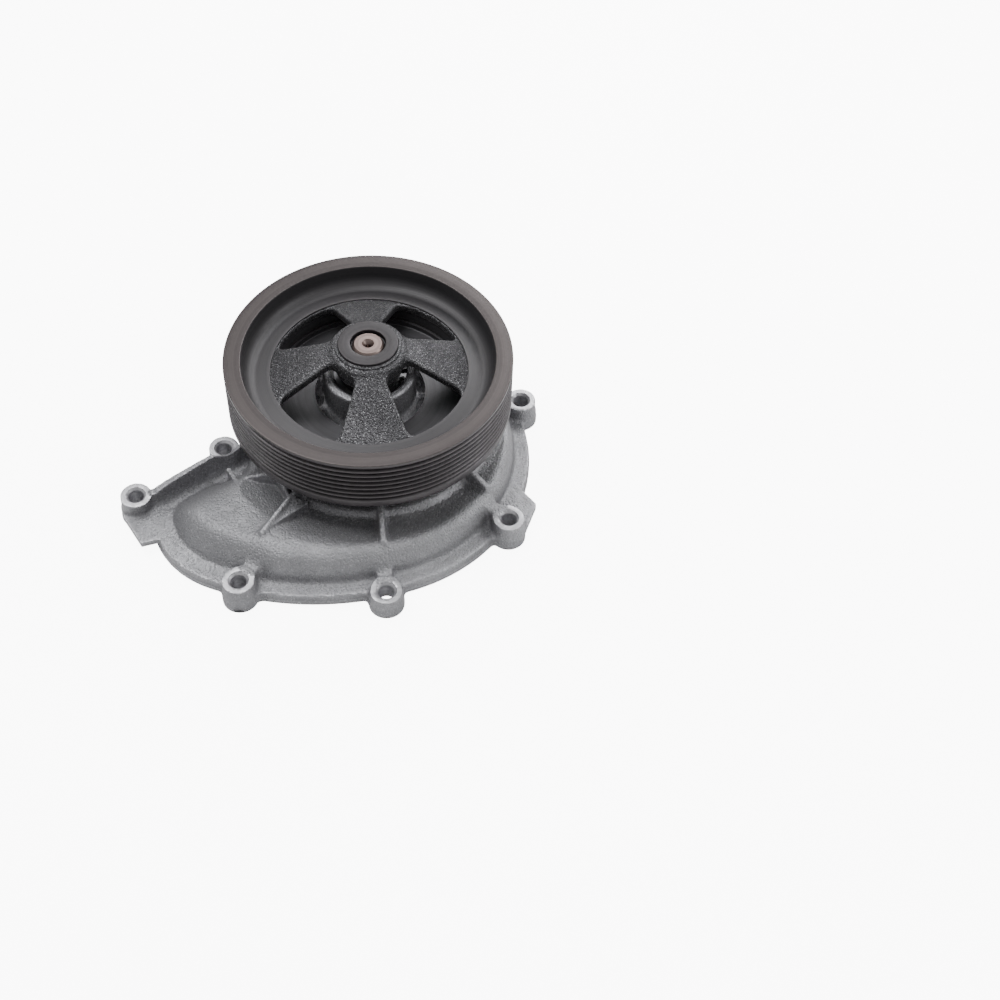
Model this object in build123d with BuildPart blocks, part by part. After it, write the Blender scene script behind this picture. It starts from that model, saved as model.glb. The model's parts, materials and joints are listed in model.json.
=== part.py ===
"""Belt-driven coolant pump for an engine block, built as separate pieces in one frame.

Origin: on the shaft axis, on the lower face of the flange gasket, which is the face that
meets the engine block. +Z runs along the shaft towards the belt pulley. The volute outlet
lies towards -X. Units are millimetres.
"""
import os
from math import cos, radians, sin

from build123d import *

# ---------------------------------------------------------------- driving dimensions
GASKET_T = 0.8  # gasket thickness
FLANGE_Z = GASKET_T  # machined joint face of the casting
FLANGE_TOP = 8.0  # top of the flange band
FLANGE_EDGE = 11.5  # flange edge outside the water chamber
WALL = 5.0  # casting wall outside the water chamber
BOSS_R = 9.4
BOSS_TOP = 17.0
BOLT_HOLE_R = 4.5  # M8 clearance
# bolt centres, counter-clockwise from the outlet, and the height of each boss
BOLTS = [
    (-130.0, -62.0, BOSS_TOP),
    (-63.5, -118.0, BOSS_TOP),
    (18.0, -117.0, 12.5),
    (84.0, -65.5, BOSS_TOP),
    (88.0, 25.5, BOSS_TOP),
    (37.5, 71.5, BOSS_TOP),
    (-18.5, 76.0, BOSS_TOP),
    (-77.0, 33.0, BOSS_TOP),
    (-85.0, -23.5, BOSS_TOP),
]
LUG_R = 10.1  # gasket lug round each bolt
NECK_REACH = 0.8  # a lug's neck runs inwards to this share of the bolt's distance
GASKET_HOLE_R = 5.2

CHAMBER_R = 65.0  # impeller chamber beside the tongue
SPIRAL_START = 75.0  # polar angle where the volute begins to grow, degrees
# tangent arcs of the volute wall, clockwise: radius, and where its outward normal ends
WALL_ARCS = [
    (140.0, 61.0),
    (66.0, 16.0),
    (89.0, -21.0),
    (91.0, -66.0),
    (151.0, -108.0),
    (47.0, -159.0),
    (22.0, -246.0),
    (35.0, -267.0),
]
TONGUE_ANGLE = -109.0  # tip of the tongue between chamber and throat
ROOF_Z = 17.5  # roof of the impeller chamber
POCKET_TOP = 22.0  # outer face above the impeller chamber
POCKET_R = 74.0  # outer ring edge of that face
CREST_Z = 28.0  # highest part of the volute

TOWER_R = 27.0
TOWER_TOP = 66.0
TOWER_EDGE = 3.0  # rounding of its upper edge
BEARING_R = 22.0  # outer ring, pressed into the tower
BEARING_Z0 = 33.0
BEARING_Z1 = 62.0
RACE_R = 17.0  # bore of the outer ring
SHAFT_R = 11.0  # shaft where the rolling elements run
HUB_SHAFT_R = 9.0
IMPELLER_SHAFT_R = 8.0
PITCH_R = 14.0  # circle of ball and roller centres
RUN_GAP = 0.06  # radial running clearance
BALL_R = 4.0
BALL_Z = 53.5
BALL_COUNT = 8
ROLLER_R = 3.0
ROLLER_Z0 = 37.0
ROLLER_LEN = 9.0
ROLLER_COUNT = 10
SEAL_BORE_R = 18.0
SEAL_BORE_TOP = 28.5
WEEP_R = 2.0
WEEP_Z = 30.8

RIM_TOP = 77.0
RIM_BOTTOM = 42.3
RIM_R = 82.3
BOWL_R = 72.3  # inside edge of the rim's top face
BOWL_Z = 64.0  # floor of the bowl between rim and spider
SPIDER_R = 58.0
SPIDER_SLOPE = 0.5  # fall of the spoked cone per unit radius
SKIRT_R = 56.5  # bore of the skirt that holds the dust shield
SKIRT_Z = 44.5
HUB_TOP = 87.0
CONE_Z = HUB_TOP - 4.0  # top of the spoked cone, beside the collar
HUB_BOTTOM = 68.0
HUB_R = 17.2
COLLAR_R = 18.6
GROOVE_COUNT = 8
GROOVE_PITCH = 3.56  # standard poly-V rib spacing
GROOVE_FIRST_Z = 73.1
GROOVE_DEPTH = 2.7
WINDOW_FIRST = 53.0  # polar angle of one spider window
WINDOW_HALF = 24.5
WINDOW_R0 = 22.0
WINDOW_R1 = 56.0
SHIELD_Z = 46.0
SHIELD_T = 1.5
SHIELD_HOLE_R = 32.0

IMPELLER_R = 62.0
BLADE_COUNT = 7
BLADE_Z0 = 1.8
BACKPLATE_Z0 = 13.5
BACKPLATE_Z1 = 16.0

# stiffening ribs: polar angle and outer end
RIBS = [
    (-165, 76.0), (-120, 105.0), (-81, 93.0), (-35, 85.5),
    (13, 76.0), (60, 70.0), (105, 70.0), (150, 70.0),
]
RIB_TOP = 41.0
RIB_T = 3.0
TAB_Z = 4.5  # underside of the flat tabs
TAB_T = 4.2
SCREEN_TOP = 24.0  # top of the thin wall beside the outlet


# ---------------------------------------------------------------- shared outlines
def polar(radius, angle):
    """A point at this radius and polar angle in degrees."""
    return (radius * cos(radians(angle)), radius * sin(radians(angle)))


def wall_arcs(grow):
    """Draws the volute wall moved outwards by this much. Returns its two end points."""
    angle = SPIRAL_START
    at = Vector(*polar(CHAMBER_R, angle))
    for radius, end in WALL_ARCS:
        centre = at - Vector(*polar(radius, angle))
        ThreePointArc(
            centre + Vector(*polar(radius + grow, angle)),
            centre + Vector(*polar(radius + grow, (angle + end) / 2)),
            centre + Vector(*polar(radius + grow, end)),
        )
        at = centre + Vector(*polar(radius, end))
        angle = end
    return Vector(*polar(CHAMBER_R + grow, SPIRAL_START)), at + Vector(*polar(grow, angle))


def water_face(z):
    """Opening of the water space: round chamber, spiral and throat, with the tongue between."""
    with BuildSketch(Plane.XY.offset(z)) as face:
        with BuildLine():
            first, last = wall_arcs(0.0)
            tongue = Spline(
                last, (-66.0, -49.5), (-48.7, -61.2), (-23.2, -68.3),
                tangents=[(1.0, 0.05), (1.0, 0.0)],
            )
            tip = ThreePointArc(tongue @ 1, (-20.3, -65.6), polar(CHAMBER_R, TONGUE_ANGLE))
            ThreePointArc(tip @ 1, polar(CHAMBER_R, 160.0), first)
        make_face()
    return face.sketch


def outline_face(z, grow):
    """The water space without its tongue, grown outwards to make walls and flange."""
    with BuildSketch(Plane.XY.offset(z)) as face:
        with BuildLine():
            first, last = wall_arcs(grow)
            shoulder = Line(last, polar(CHAMBER_R + grow, 205.0))
            ThreePointArc(shoulder @ 1, polar(CHAMBER_R + grow, 140.0), first)
        make_face()
    return face.sketch


def roof_profile(drop):
    """Half section of the space above the casting's roof, lowered by drop."""
    floor = POCKET_TOP - drop
    with BuildSketch(Plane.XZ) as space:
        with BuildLine():
            Line((0.0, floor), (POCKET_R - drop, floor))
            Line((POCKET_R - drop, floor), (POCKET_R + 1.0 - drop, 17.0 - drop))
            Spline(
                (POCKET_R + 1.0 - drop, 17.0 - drop), (84.0, 19.0 - drop), (96.0, 26.0 - drop),
                (108.0, CREST_Z - drop),
                tangents=[(1.0, -0.1), (1.0, 0.0)],
            )
            Line((108.0, CREST_Z - drop), (160.0, CREST_Z - drop))
            Line((160.0, CREST_Z - drop), (160.0, 60.0))
            Line((160.0, 60.0), (0.0, 60.0))
            Line((0.0, 60.0), (0.0, floor))
        make_face()
    return space.sketch


def lug_face(z, radius):
    """A round lug at each bolt, tied to the flange band by a broad neck."""
    with BuildSketch(Plane.XY.offset(z)) as face:
        for x, y, top in BOLTS:
            with Locations((x, y)):
                Circle(radius)
            with BuildLine(mode=Mode.PRIVATE) as neck:
                Line((x, y), (NECK_REACH * x, NECK_REACH * y))
            trace(neck.line, line_width=2.0 * radius - 3.0)
    return face.sketch


def save(piece, label):
    """Label a finished piece and write it as its own STEP file."""
    piece.part.label = label
    export_step(piece.part, f"parts/{label}.step")


os.makedirs("parts", exist_ok=True)

# ---------------------------------------------------------------- cover casting
# water space inside the casting: spiral and throat under a curved roof, and the impeller pocket
with BuildPart() as water:
    extrude(water_face(FLANGE_Z - 1.0), amount=40.0)
    revolve(roof_profile(4.5), axis=Axis.Z, mode=Mode.SUBTRACT)
    with BuildSketch(Plane.XY.offset(FLANGE_Z - 1.0)):
        Circle(CHAMBER_R)
    extrude(amount=ROOF_Z - FLANGE_Z + 1.0)

with BuildPart() as volute:
    extrude(outline_face(FLANGE_Z, WALL), amount=40.0)
    revolve(roof_profile(0.0), axis=Axis.Z, mode=Mode.SUBTRACT)

with BuildPart() as cover_casting:
    # flange band that follows the water space
    extrude(outline_face(FLANGE_Z, FLANGE_EDGE), amount=FLANGE_TOP - FLANGE_Z)
    extrude(lug_face(FLANGE_Z, BOSS_R), amount=FLANGE_TOP - FLANGE_Z)
    add(volute.part)
    # bearing tower with a flared foot
    with BuildSketch(Plane.XZ):
        with BuildLine():
            Line((0.0, POCKET_TOP - 4.5), (62.0, POCKET_TOP - 4.5))
            Line((62.0, POCKET_TOP - 4.5), (62.0, POCKET_TOP))
            Spline(
                (62.0, POCKET_TOP), (40.0, 26.0), (TOWER_R, 38.0),
                tangents=[(-1.0, 0.1), (0.0, 1.0)],
            )
            side = Line((TOWER_R, 38.0), (TOWER_R, TOWER_TOP - TOWER_EDGE))
            RadiusArc(side @ 1, (TOWER_R - TOWER_EDGE, TOWER_TOP), -TOWER_EDGE)
            Line((TOWER_R - TOWER_EDGE, TOWER_TOP), (0.0, TOWER_TOP))
            Line((0.0, TOWER_TOP), (0.0, POCKET_TOP - 4.5))
        make_face()
    revolve(axis=Axis.Z)
    # radial stiffening ribs from the tower to the volute
    for angle, reach in RIBS:
        along = Vector(*polar(1.0, angle))
        with BuildSketch(Plane(origin=(0, 0, 0), x_dir=along, z_dir=Vector(*polar(1.0, angle - 90)))):
            with BuildLine():
                Polyline(
                    (20.0, 20.0), (20.0, RIB_TOP), (29.0, RIB_TOP), (68.0, 33.0), (reach, 24.0),
                    (reach, 14.0), (62.0, 14.0), (62.0, 20.0), close=True,
                )
            make_face()
        extrude(amount=RIB_T / 2, both=True)
    # bolt bosses
    for x, y, top in BOLTS:
        with BuildSketch(Plane.XY.offset(FLANGE_Z)):
            with Locations((x, y)):
                Circle(BOSS_R)
        extrude(amount=top - FLANGE_Z)
    # webs that tie three of the bosses to the volute
    for x, y, top in BOLTS[1:4]:
        with BuildSketch(Plane.XY.offset(FLANGE_Z)):
            with BuildLine():
                Polyline(
                    (x - 9.0, y + 3.0), (x + 9.0, y + 3.0), (x * 0.86 + 3.0, y * 0.86),
                    (x * 0.86 - 3.0, y * 0.86), close=True,
                )
            make_face()
        extrude(amount=top - 2.0 - FLANGE_Z)
    # flat tab beside the outlet boss
    with BuildSketch(Plane.XY.offset(TAB_Z)):
        with BuildLine():
            Polyline(
                (-137.0, -67.0), (-123.0, -89.5), (-104.0, -82.0), (-100.0, -60.0), (-125.0, -55.0),
                close=True,
            )
        make_face()
    extrude(amount=TAB_T)
    # flat tab beside the right-hand boss
    with BuildSketch(Plane.XY.offset(TAB_Z)):
        with BuildLine():
            Polyline(
                (86.0, -33.0), (99.5, -48.5), (93.5, -68.0), (80.0, -66.0), (80.0, -40.0),
                close=True,
            )
        make_face()
    extrude(amount=TAB_T)
    # tall thin wall between the outlet boss and the impeller chamber
    with BuildSketch(Plane.XY.offset(FLANGE_Z)):
        with BuildLine():
            Polyline((-121.5, -60.0), (-76.0, -24.4), (-74.0, -26.6), (-119.0, -64.5), close=True)
        make_face()
    extrude(amount=SCREEN_TOP - FLANGE_Z)
    # water space, seal bore, slinger space, bearing bore and circlip groove
    add(water.part, mode=Mode.SUBTRACT)
    with BuildSketch(Plane.XY.offset(ROOF_Z - 1.0)):
        Circle(SEAL_BORE_R)
    extrude(amount=SEAL_BORE_TOP - ROOF_Z + 1.0, mode=Mode.SUBTRACT)
    with BuildSketch(Plane.XY.offset(SEAL_BORE_TOP)):
        Circle(16.0)
    extrude(amount=BEARING_Z0 - SEAL_BORE_TOP, mode=Mode.SUBTRACT)
    with BuildSketch(Plane.XY.offset(BEARING_Z0)):
        Circle(BEARING_R)
    extrude(amount=TOWER_TOP - BEARING_Z0, mode=Mode.SUBTRACT)
    with BuildSketch(Plane.XY.offset(BEARING_Z1 + 0.1)):
        Circle(BEARING_R + 1.5)
    extrude(amount=1.7, mode=Mode.SUBTRACT)
    # weep hole out of the slinger space
    with BuildSketch(Plane(origin=(0, 0, WEEP_Z), z_dir=(*polar(1.0, -58.0), 0))):
        Circle(WEEP_R)
    extrude(amount=60.0, mode=Mode.SUBTRACT)
    # bolt holes
    for x, y, top in BOLTS:
        with BuildSketch(Plane.XY.offset(FLANGE_Z)):
            with Locations((x, y)):
                Circle(BOLT_HOLE_R)
        extrude(amount=top + 20.0, mode=Mode.SUBTRACT)
save(cover_casting, "cover_casting")

# ---------------------------------------------------------------- flange gasket
with BuildPart() as flange_gasket:
    with BuildSketch():
        add(outline_face(0.0, FLANGE_EDGE - 0.5))
        add(lug_face(0.0, LUG_R))
        add(water_face(0.0), mode=Mode.SUBTRACT)
        with Locations([(x, y) for x, y, top in BOLTS[:1] + BOLTS[2:]]):
            Circle(GASKET_HOLE_R, mode=Mode.SUBTRACT)
        # one hole is a short slot, to take up tolerance
        with Locations(BOLTS[1][:2]):
            SlotOverall(2 * GASKET_HOLE_R + 2.0, 2 * GASKET_HOLE_R, mode=Mode.SUBTRACT)
    extrude(amount=GASKET_T)
save(flange_gasket, "flange_gasket")

# ---------------------------------------------------------------- shaft
with BuildPart() as pump_shaft:
    with BuildSketch(Plane.XZ):
        with BuildLine():
            Polyline(
                (0.0, 2.6), (IMPELLER_SHAFT_R - 0.8, 2.6), (IMPELLER_SHAFT_R, 3.4),
                (IMPELLER_SHAFT_R, 32.6), (SHAFT_R - 0.6, 32.6), (SHAFT_R, 33.2), (SHAFT_R, 63.4),
                (SHAFT_R - 0.6, 64.0), (HUB_SHAFT_R, 64.0), (HUB_SHAFT_R, HUB_TOP - 1.8),
                (HUB_SHAFT_R - 1.2, HUB_TOP - 0.6), (0.0, HUB_TOP - 0.6), close=True,
            )
        make_face()
    revolve(axis=Axis.Z)
    with BuildSketch(Plane.XZ):
        with Locations((PITCH_R, BALL_Z)):
            Circle(BALL_R + RUN_GAP)
    revolve(axis=Axis.Z, mode=Mode.SUBTRACT)
    # centre drilling in the pulley end
    with BuildSketch(Plane.XZ):
        with BuildLine():
            Polyline(
                (0.0, HUB_TOP), (3.4, HUB_TOP), (3.4, HUB_TOP - 0.8), (1.6, HUB_TOP - 3.0),
                (1.6, HUB_TOP - 6.0), (0.0, HUB_TOP - 7.0), close=True,
            )
        make_face()
    revolve(axis=Axis.Z, mode=Mode.SUBTRACT)
save(pump_shaft, "pump_shaft")

# ---------------------------------------------------------------- bearing
with BuildPart() as bearing_outer_ring:
    with BuildSketch(Plane.XZ):
        with BuildLine():
            Polyline(
                (RACE_R, BEARING_Z0), (BEARING_R - 0.8, BEARING_Z0), (BEARING_R, BEARING_Z0 + 0.8),
                (BEARING_R, BEARING_Z1 - 0.8), (BEARING_R - 0.8, BEARING_Z1), (RACE_R, BEARING_Z1),
                close=True,
            )
        make_face()
    revolve(axis=Axis.Z)
    with BuildSketch(Plane.XZ):
        with Locations((PITCH_R, BALL_Z)):
            Circle(BALL_R + RUN_GAP)
    revolve(axis=Axis.Z, mode=Mode.SUBTRACT)
save(bearing_outer_ring, "bearing_outer_ring")

CAGE_R0 = 12.4
CAGE_R1 = 15.6
with BuildPart() as ball_cage:
    with BuildSketch(Plane.XY.offset(BALL_Z - 5.2)):
        Circle(CAGE_R1)
        Circle(CAGE_R0, mode=Mode.SUBTRACT)
    extrude(amount=10.4)
    with PolarLocations(0.0, BALL_COUNT):
        with Locations((PITCH_R, 0.0, BALL_Z)):
            Cylinder(BALL_R + 0.1, 8.0, rotation=(0, 90, 0), mode=Mode.SUBTRACT)
save(ball_cage, "ball_cage")

with BuildPart() as bearing_balls:
    with PolarLocations(0.0, BALL_COUNT):
        with Locations((PITCH_R, 0.0, BALL_Z)):
            Sphere(BALL_R)
save(bearing_balls, "bearing_balls")

with BuildPart() as roller_cage:
    with BuildSketch(Plane.XY.offset(ROLLER_Z0 - 0.9)):
        Circle(CAGE_R1)
        Circle(CAGE_R0, mode=Mode.SUBTRACT)
    extrude(amount=ROLLER_LEN + 1.8)
    with BuildSketch(Plane.XY.offset(ROLLER_Z0 - 0.1)):
        with PolarLocations(PITCH_R, ROLLER_COUNT):
            Circle(ROLLER_R + 0.1)
    extrude(amount=ROLLER_LEN + 0.2, mode=Mode.SUBTRACT)
save(roller_cage, "roller_cage")

with BuildPart() as bearing_rollers:
    with BuildSketch(Plane.XY.offset(ROLLER_Z0)):
        with PolarLocations(PITCH_R, ROLLER_COUNT):
            Circle(ROLLER_R - RUN_GAP)
    extrude(amount=ROLLER_LEN)
save(bearing_rollers, "bearing_rollers")


def lip_seal(z):
    """Bearing seal: a stiff disc with a lip that runs on the shaft."""
    with BuildPart() as seal:
        with BuildSketch(Plane.XZ):
            with BuildLine():
                Polyline(
                    (RACE_R - 0.02, z), (RACE_R - 0.02, z + 2.4), (13.0, z + 2.4),
                    (SHAFT_R + RUN_GAP, z + 1.8), (SHAFT_R + RUN_GAP, z + 1.0), (13.0, z + 0.9),
                    (RACE_R - 1.2, z + 0.6), (RACE_R - 1.2, z), close=True,
                )
            make_face()
        revolve(axis=Axis.Z)
    return seal


inner_bearing_seal = lip_seal(BEARING_Z0 + 0.3)
save(inner_bearing_seal, "inner_bearing_seal")
outer_bearing_seal = lip_seal(BEARING_Z1 - 2.7)
save(outer_bearing_seal, "outer_bearing_seal")

# circlip that holds the bearing down in the tower
with BuildPart() as bearing_circlip:
    with BuildSketch(Plane.XY.offset(BEARING_Z1 + 0.15)):
        Circle(BEARING_R + 1.4)
        Circle(BEARING_R - 1.6, mode=Mode.SUBTRACT)
        with Locations((BEARING_R, 0.0)):
            Rectangle(8.0, 9.0, mode=Mode.SUBTRACT)
        with Locations(polar(BEARING_R - 1.9, 14.5), polar(BEARING_R - 1.9, -14.5)):
            Circle(2.2)
        with Locations(polar(BEARING_R - 2.0, 14.5), polar(BEARING_R - 2.0, -14.5)):
            Circle(1.0, mode=Mode.SUBTRACT)
    extrude(amount=1.5)
save(bearing_circlip, "bearing_circlip")

# ---------------------------------------------------------------- water seal
# thin metal cup pressed into the seal bore
with BuildPart() as seal_cup:
    with BuildSketch(Plane.XZ):
        with BuildLine():
            Polyline(
                (17.2, 16.6), (20.0, 16.6), (20.0, 17.4), (SEAL_BORE_R, 17.4), (SEAL_BORE_R, 28.3),
                (12.0, 28.3), (12.0, 27.5), (17.2, 27.5), close=True,
            )
        make_face()
    revolve(axis=Axis.Z)
save(seal_cup, "seal_cup")

# rubber bellows between the cup and the carbon ring
with BuildPart() as seal_bellows:
    with BuildSketch(Plane.XZ):
        with BuildLine():
            Polyline(
                (9.6, 20.9), (13.8, 20.9), (13.8, 22.4), (12.2, 23.2), (13.6, 24.2), (12.2, 25.2),
                (13.8, 26.2), (13.8, 27.4), (12.2, 27.4), (12.2, 26.6), (10.8, 25.2), (12.0, 24.2),
                (10.8, 23.2), (11.4, 22.2), (9.6, 22.2), close=True,
            )
        make_face()
    revolve(axis=Axis.Z)
save(seal_bellows, "seal_bellows")

with BuildPart() as seal_carbon_ring:
    with BuildSketch(Plane.XY.offset(17.8)):
        Circle(13.4)
        Circle(9.6, mode=Mode.SUBTRACT)
    extrude(amount=3.0)
save(seal_carbon_ring, "seal_carbon_ring")

SPRING_R = 15.5
SPRING_WIRE_R = 0.6
with BuildPart() as seal_spring:
    with BuildLine() as coil:
        Helix(pitch=2.0, height=6.0, radius=SPRING_R, center=(0, 0, 20.8))
    with BuildSketch(Plane(origin=coil.line @ 0, z_dir=coil.line % 0)):
        Circle(SPRING_WIRE_R)
    sweep(is_frenet=True)
save(seal_spring, "seal_spring")

# mating ring in its rubber boot, both turning with the impeller
with BuildPart() as seal_seat_ring:
    with BuildSketch(Plane.XY.offset(14.4)):
        Circle(13.4)
        Circle(9.2, mode=Mode.SUBTRACT)
    extrude(amount=3.3)
save(seal_seat_ring, "seal_seat_ring")

with BuildPart() as seal_seat_boot:
    with BuildSketch(Plane.XZ):
        with BuildLine():
            Polyline(
                (8.05, 13.0), (14.6, 13.0), (14.6, 16.4), (13.5, 16.4), (13.5, 14.3), (8.05, 14.3),
                close=True,
            )
        make_face()
    revolve(axis=Axis.Z)
save(seal_seat_boot, "seal_seat_boot")

with BuildPart() as shaft_slinger:
    with BuildSketch(Plane.XZ):
        with BuildLine():
            Polyline(
                (8.02, 29.2), (9.6, 29.2), (9.6, 30.2), (13.6, 29.4), (14.2, 30.0), (10.0, 31.4),
                (8.02, 31.4), close=True,
            )
        make_face()
    revolve(axis=Axis.Z)
save(shaft_slinger, "shaft_slinger")

# ---------------------------------------------------------------- impeller
with BuildPart() as impeller:
    with BuildSketch(Plane.XZ):
        with BuildLine():
            Polyline(
                (IMPELLER_SHAFT_R, 3.0), (14.0, 3.0), (19.0, 8.0), (22.0, BACKPLATE_Z0),
                (IMPELLER_R, BACKPLATE_Z0), (IMPELLER_R, BACKPLATE_Z1), (14.8, BACKPLATE_Z1),
                (14.8, 12.9), (IMPELLER_SHAFT_R, 12.9), close=True,
            )
        make_face()
    revolve(axis=Axis.Z)
    for blade in range(BLADE_COUNT):
        start = 360.0 / BLADE_COUNT * blade
        with BuildSketch(Plane.XY.offset(BLADE_Z0)):
            with BuildLine() as camber:
                ThreePointArc(polar(24.0, start), polar(44.0, start + 17.0), polar(60.4, start + 48.0))
            trace(camber.line, line_width=3.4)
        extrude(amount=BACKPLATE_Z0 - BLADE_Z0 + 0.5)
    # balance holes through the back plate
    with BuildSketch(Plane.XY.offset(BACKPLATE_Z0 - 1.0)):
        with PolarLocations(30.0, 3, start_angle=8.0):
            Circle(3.5)
    extrude(amount=5.0, mode=Mode.SUBTRACT)
save(impeller, "impeller")

# ---------------------------------------------------------------- pulley
with BuildPart() as belt_pulley:
    with BuildSketch(Plane.XZ):
        with BuildLine():
            Polyline(
                (HUB_SHAFT_R, HUB_BOTTOM), (HUB_SHAFT_R, HUB_TOP - 0.9), (HUB_SHAFT_R + 0.9, HUB_TOP),
                (HUB_R, HUB_TOP), (HUB_R, HUB_TOP - 1.4), (COLLAR_R, HUB_TOP - 1.4),
                (COLLAR_R + 1.4, CONE_Z), (SPIDER_R, CONE_Z - SPIDER_SLOPE * (SPIDER_R - 20.0)),
            )
            Line((SPIDER_R, BOWL_Z), (BOWL_R - 6.0, BOWL_Z))
            foot = Vector(BOWL_R - 0.8, BOWL_Z + 5.2)
            ThreePointArc((BOWL_R - 6.0, BOWL_Z), (BOWL_R - 2.4, BOWL_Z + 1.6), foot)
            Polyline(
                foot, (BOWL_R, RIM_TOP), (RIM_R - 0.5, RIM_TOP), (RIM_R, RIM_TOP - 0.5),
                (RIM_R, RIM_BOTTOM + 0.5), (RIM_R - 0.5, RIM_BOTTOM), (75.0, RIM_BOTTOM), (75.0, 56.0),
                (72.0, 59.0), (62.0, 59.0), (60.0, 57.0), (60.0, SKIRT_Z), (SKIRT_R, SKIRT_Z),
                (SKIRT_R, 57.2), (17.0, 77.0), (15.0, 75.5), (15.0, HUB_BOTTOM),
                (HUB_SHAFT_R, HUB_BOTTOM),
            )
        make_face()
    revolve(axis=Axis.Z)
    # belt grooves
    for groove in range(GROOVE_COUNT):
        z = GROOVE_FIRST_Z - GROOVE_PITCH * groove
        with BuildSketch(Plane.XZ):
            with BuildLine():
                Polyline(
                    (RIM_R + 0.1, z - 1.38), (RIM_R + 0.1, z + 1.38), (RIM_R - GROOVE_DEPTH, z + 0.4),
                    (RIM_R - GROOVE_DEPTH, z - 0.4), close=True,
                )
            make_face()
        revolve(axis=Axis.Z, mode=Mode.SUBTRACT)
    # windows between the four spokes
    for window in range(4):
        middle = WINDOW_FIRST + 90.0 * window
        low = middle - WINDOW_HALF
        high = middle + WINDOW_HALF
        with BuildSketch(Plane.XY.offset(50.0)) as opening:
            with BuildLine():
                Line(polar(WINDOW_R0, low), polar(WINDOW_R1, low))
                ThreePointArc(polar(WINDOW_R1, low), polar(WINDOW_R1, middle), polar(WINDOW_R1, high))
                Line(polar(WINDOW_R1, high), polar(WINDOW_R0, high))
                ThreePointArc(polar(WINDOW_R0, high), polar(WINDOW_R0, middle), polar(WINDOW_R0, low))
            make_face()
            corners = opening.vertices().sort_by(Axis((0, 0, 50), (*polar(1.0, middle), 0)))
            fillet(corners[:2], radius=6.0)
            fillet(opening.vertices().sort_by(Axis((0, 0, 50), (*polar(1.0, middle), 0)))[-2:], radius=3.5)
        extrude(amount=40.0, mode=Mode.SUBTRACT)
save(belt_pulley, "belt_pulley")

# pressed disc that closes the back of the pulley, with a hole round the tower
with BuildPart() as pulley_dust_shield:
    with BuildSketch(Plane.XZ):
        with BuildLine():
            Polyline(
                (SHIELD_HOLE_R, SHIELD_Z), (55.0, SHIELD_Z), (56.45, SHIELD_Z + 1.5),
                (56.45, SHIELD_Z + 5.0), (55.0, SHIELD_Z + 5.0), (55.0, SHIELD_Z + SHIELD_T + 0.4),
                (54.4, SHIELD_Z + SHIELD_T), (SHIELD_HOLE_R, SHIELD_Z + SHIELD_T), close=True,
            )
        make_face()
    revolve(axis=Axis.Z)
save(pulley_dust_shield, "pulley_dust_shield")
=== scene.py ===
import json
from math import cos, hypot, pi, radians, sin

import bpy
import numpy as np
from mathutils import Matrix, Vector


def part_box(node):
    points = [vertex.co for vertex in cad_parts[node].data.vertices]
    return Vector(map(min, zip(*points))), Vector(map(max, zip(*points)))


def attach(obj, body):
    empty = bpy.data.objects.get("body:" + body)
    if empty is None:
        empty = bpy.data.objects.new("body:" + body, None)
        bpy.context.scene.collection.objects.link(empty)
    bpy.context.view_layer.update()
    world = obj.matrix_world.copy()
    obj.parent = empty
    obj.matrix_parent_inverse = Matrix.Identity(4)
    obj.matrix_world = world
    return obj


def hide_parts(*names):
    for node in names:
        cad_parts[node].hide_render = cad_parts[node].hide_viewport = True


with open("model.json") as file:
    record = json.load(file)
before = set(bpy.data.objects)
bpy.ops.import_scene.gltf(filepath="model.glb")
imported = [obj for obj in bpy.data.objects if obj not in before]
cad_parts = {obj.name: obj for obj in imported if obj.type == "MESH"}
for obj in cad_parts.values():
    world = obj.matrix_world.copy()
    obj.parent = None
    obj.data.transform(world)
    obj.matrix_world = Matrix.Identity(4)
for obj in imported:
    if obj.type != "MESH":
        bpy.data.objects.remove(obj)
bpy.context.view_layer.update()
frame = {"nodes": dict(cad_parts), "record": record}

MM = 0.001  # every length below is in millimetres unless its name says otherwise

# ---------------------------------------------------------------- places read from the frame
BOLTS = []
for mount in frame["record"]["mounts"]:
    if mount["name"].startswith("bolt_hole"):
        x, y, middle = [v / MM for v in mount["pos_m"]]
        BOLTS.append((x, y, middle + mount["dims"]["length_mm"] / 2))


def box_mm(node):
    """Lowest and highest corner of a CAD node, in millimetres."""
    low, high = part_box(node)
    return [v / MM for v in low], [v / MM for v in high]


GASKET_TOP = box_mm("flange_gasket")[1][2]
TOWER_TOP = box_mm("cover_casting")[1][2]
RIM_R = box_mm("belt_pulley")[1][0]
RIM_BOTTOM = box_mm("belt_pulley")[0][2]
HUB_TOP = box_mm("belt_pulley")[1][2]
BORE_R = box_mm("bearing_outer_ring")[1][0]
BORE_FLOOR = box_mm("bearing_outer_ring")[0][2]

# ---------------------------------------------------------------- sizes of the casting
CHAMBER_R = 65.0
SPIRAL_START = 75.0
# tangent arcs of the volute wall, clockwise: radius, and where its outward normal ends
WALL_ARCS = [(140, 61), (66, 16), (89, -21), (91, -66), (151, -108), (47, -159), (22, -246), (35, -267)]
TONGUE = [(-75.0, -45.2), (-66.0, -49.5), (-57.0, -55.2), (-48.7, -61.2), (-36.0, -66.0), (-23.2, -68.3),
          (-20.6, -67.4), (-20.3, -65.6)]
FLANGE_TOP = 8.0
FLANGE_EDGE = 11.5
WALL = 1.5  # foot of the volute wall, outside the water outline
WALL_T = 4.5  # thickness of the volute wall
CHAMBER_WALL = 6.0  # thickness of the wall round the impeller chamber
NOSE_RISE = 19.0  # height of the low dome over the outlet, above the flange
NOSE_REACH = 30.0
NOSE_X, NOSE_RUN = -40, 36  # where the roof starts to sink to the dome, and over what length
NOSE_R, NOSE_R_RUN = 75, 7  # the same outwards from the shaft
SHOULDER_REACH = 16.0
CHAMBER_ROOF = 17.5
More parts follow.
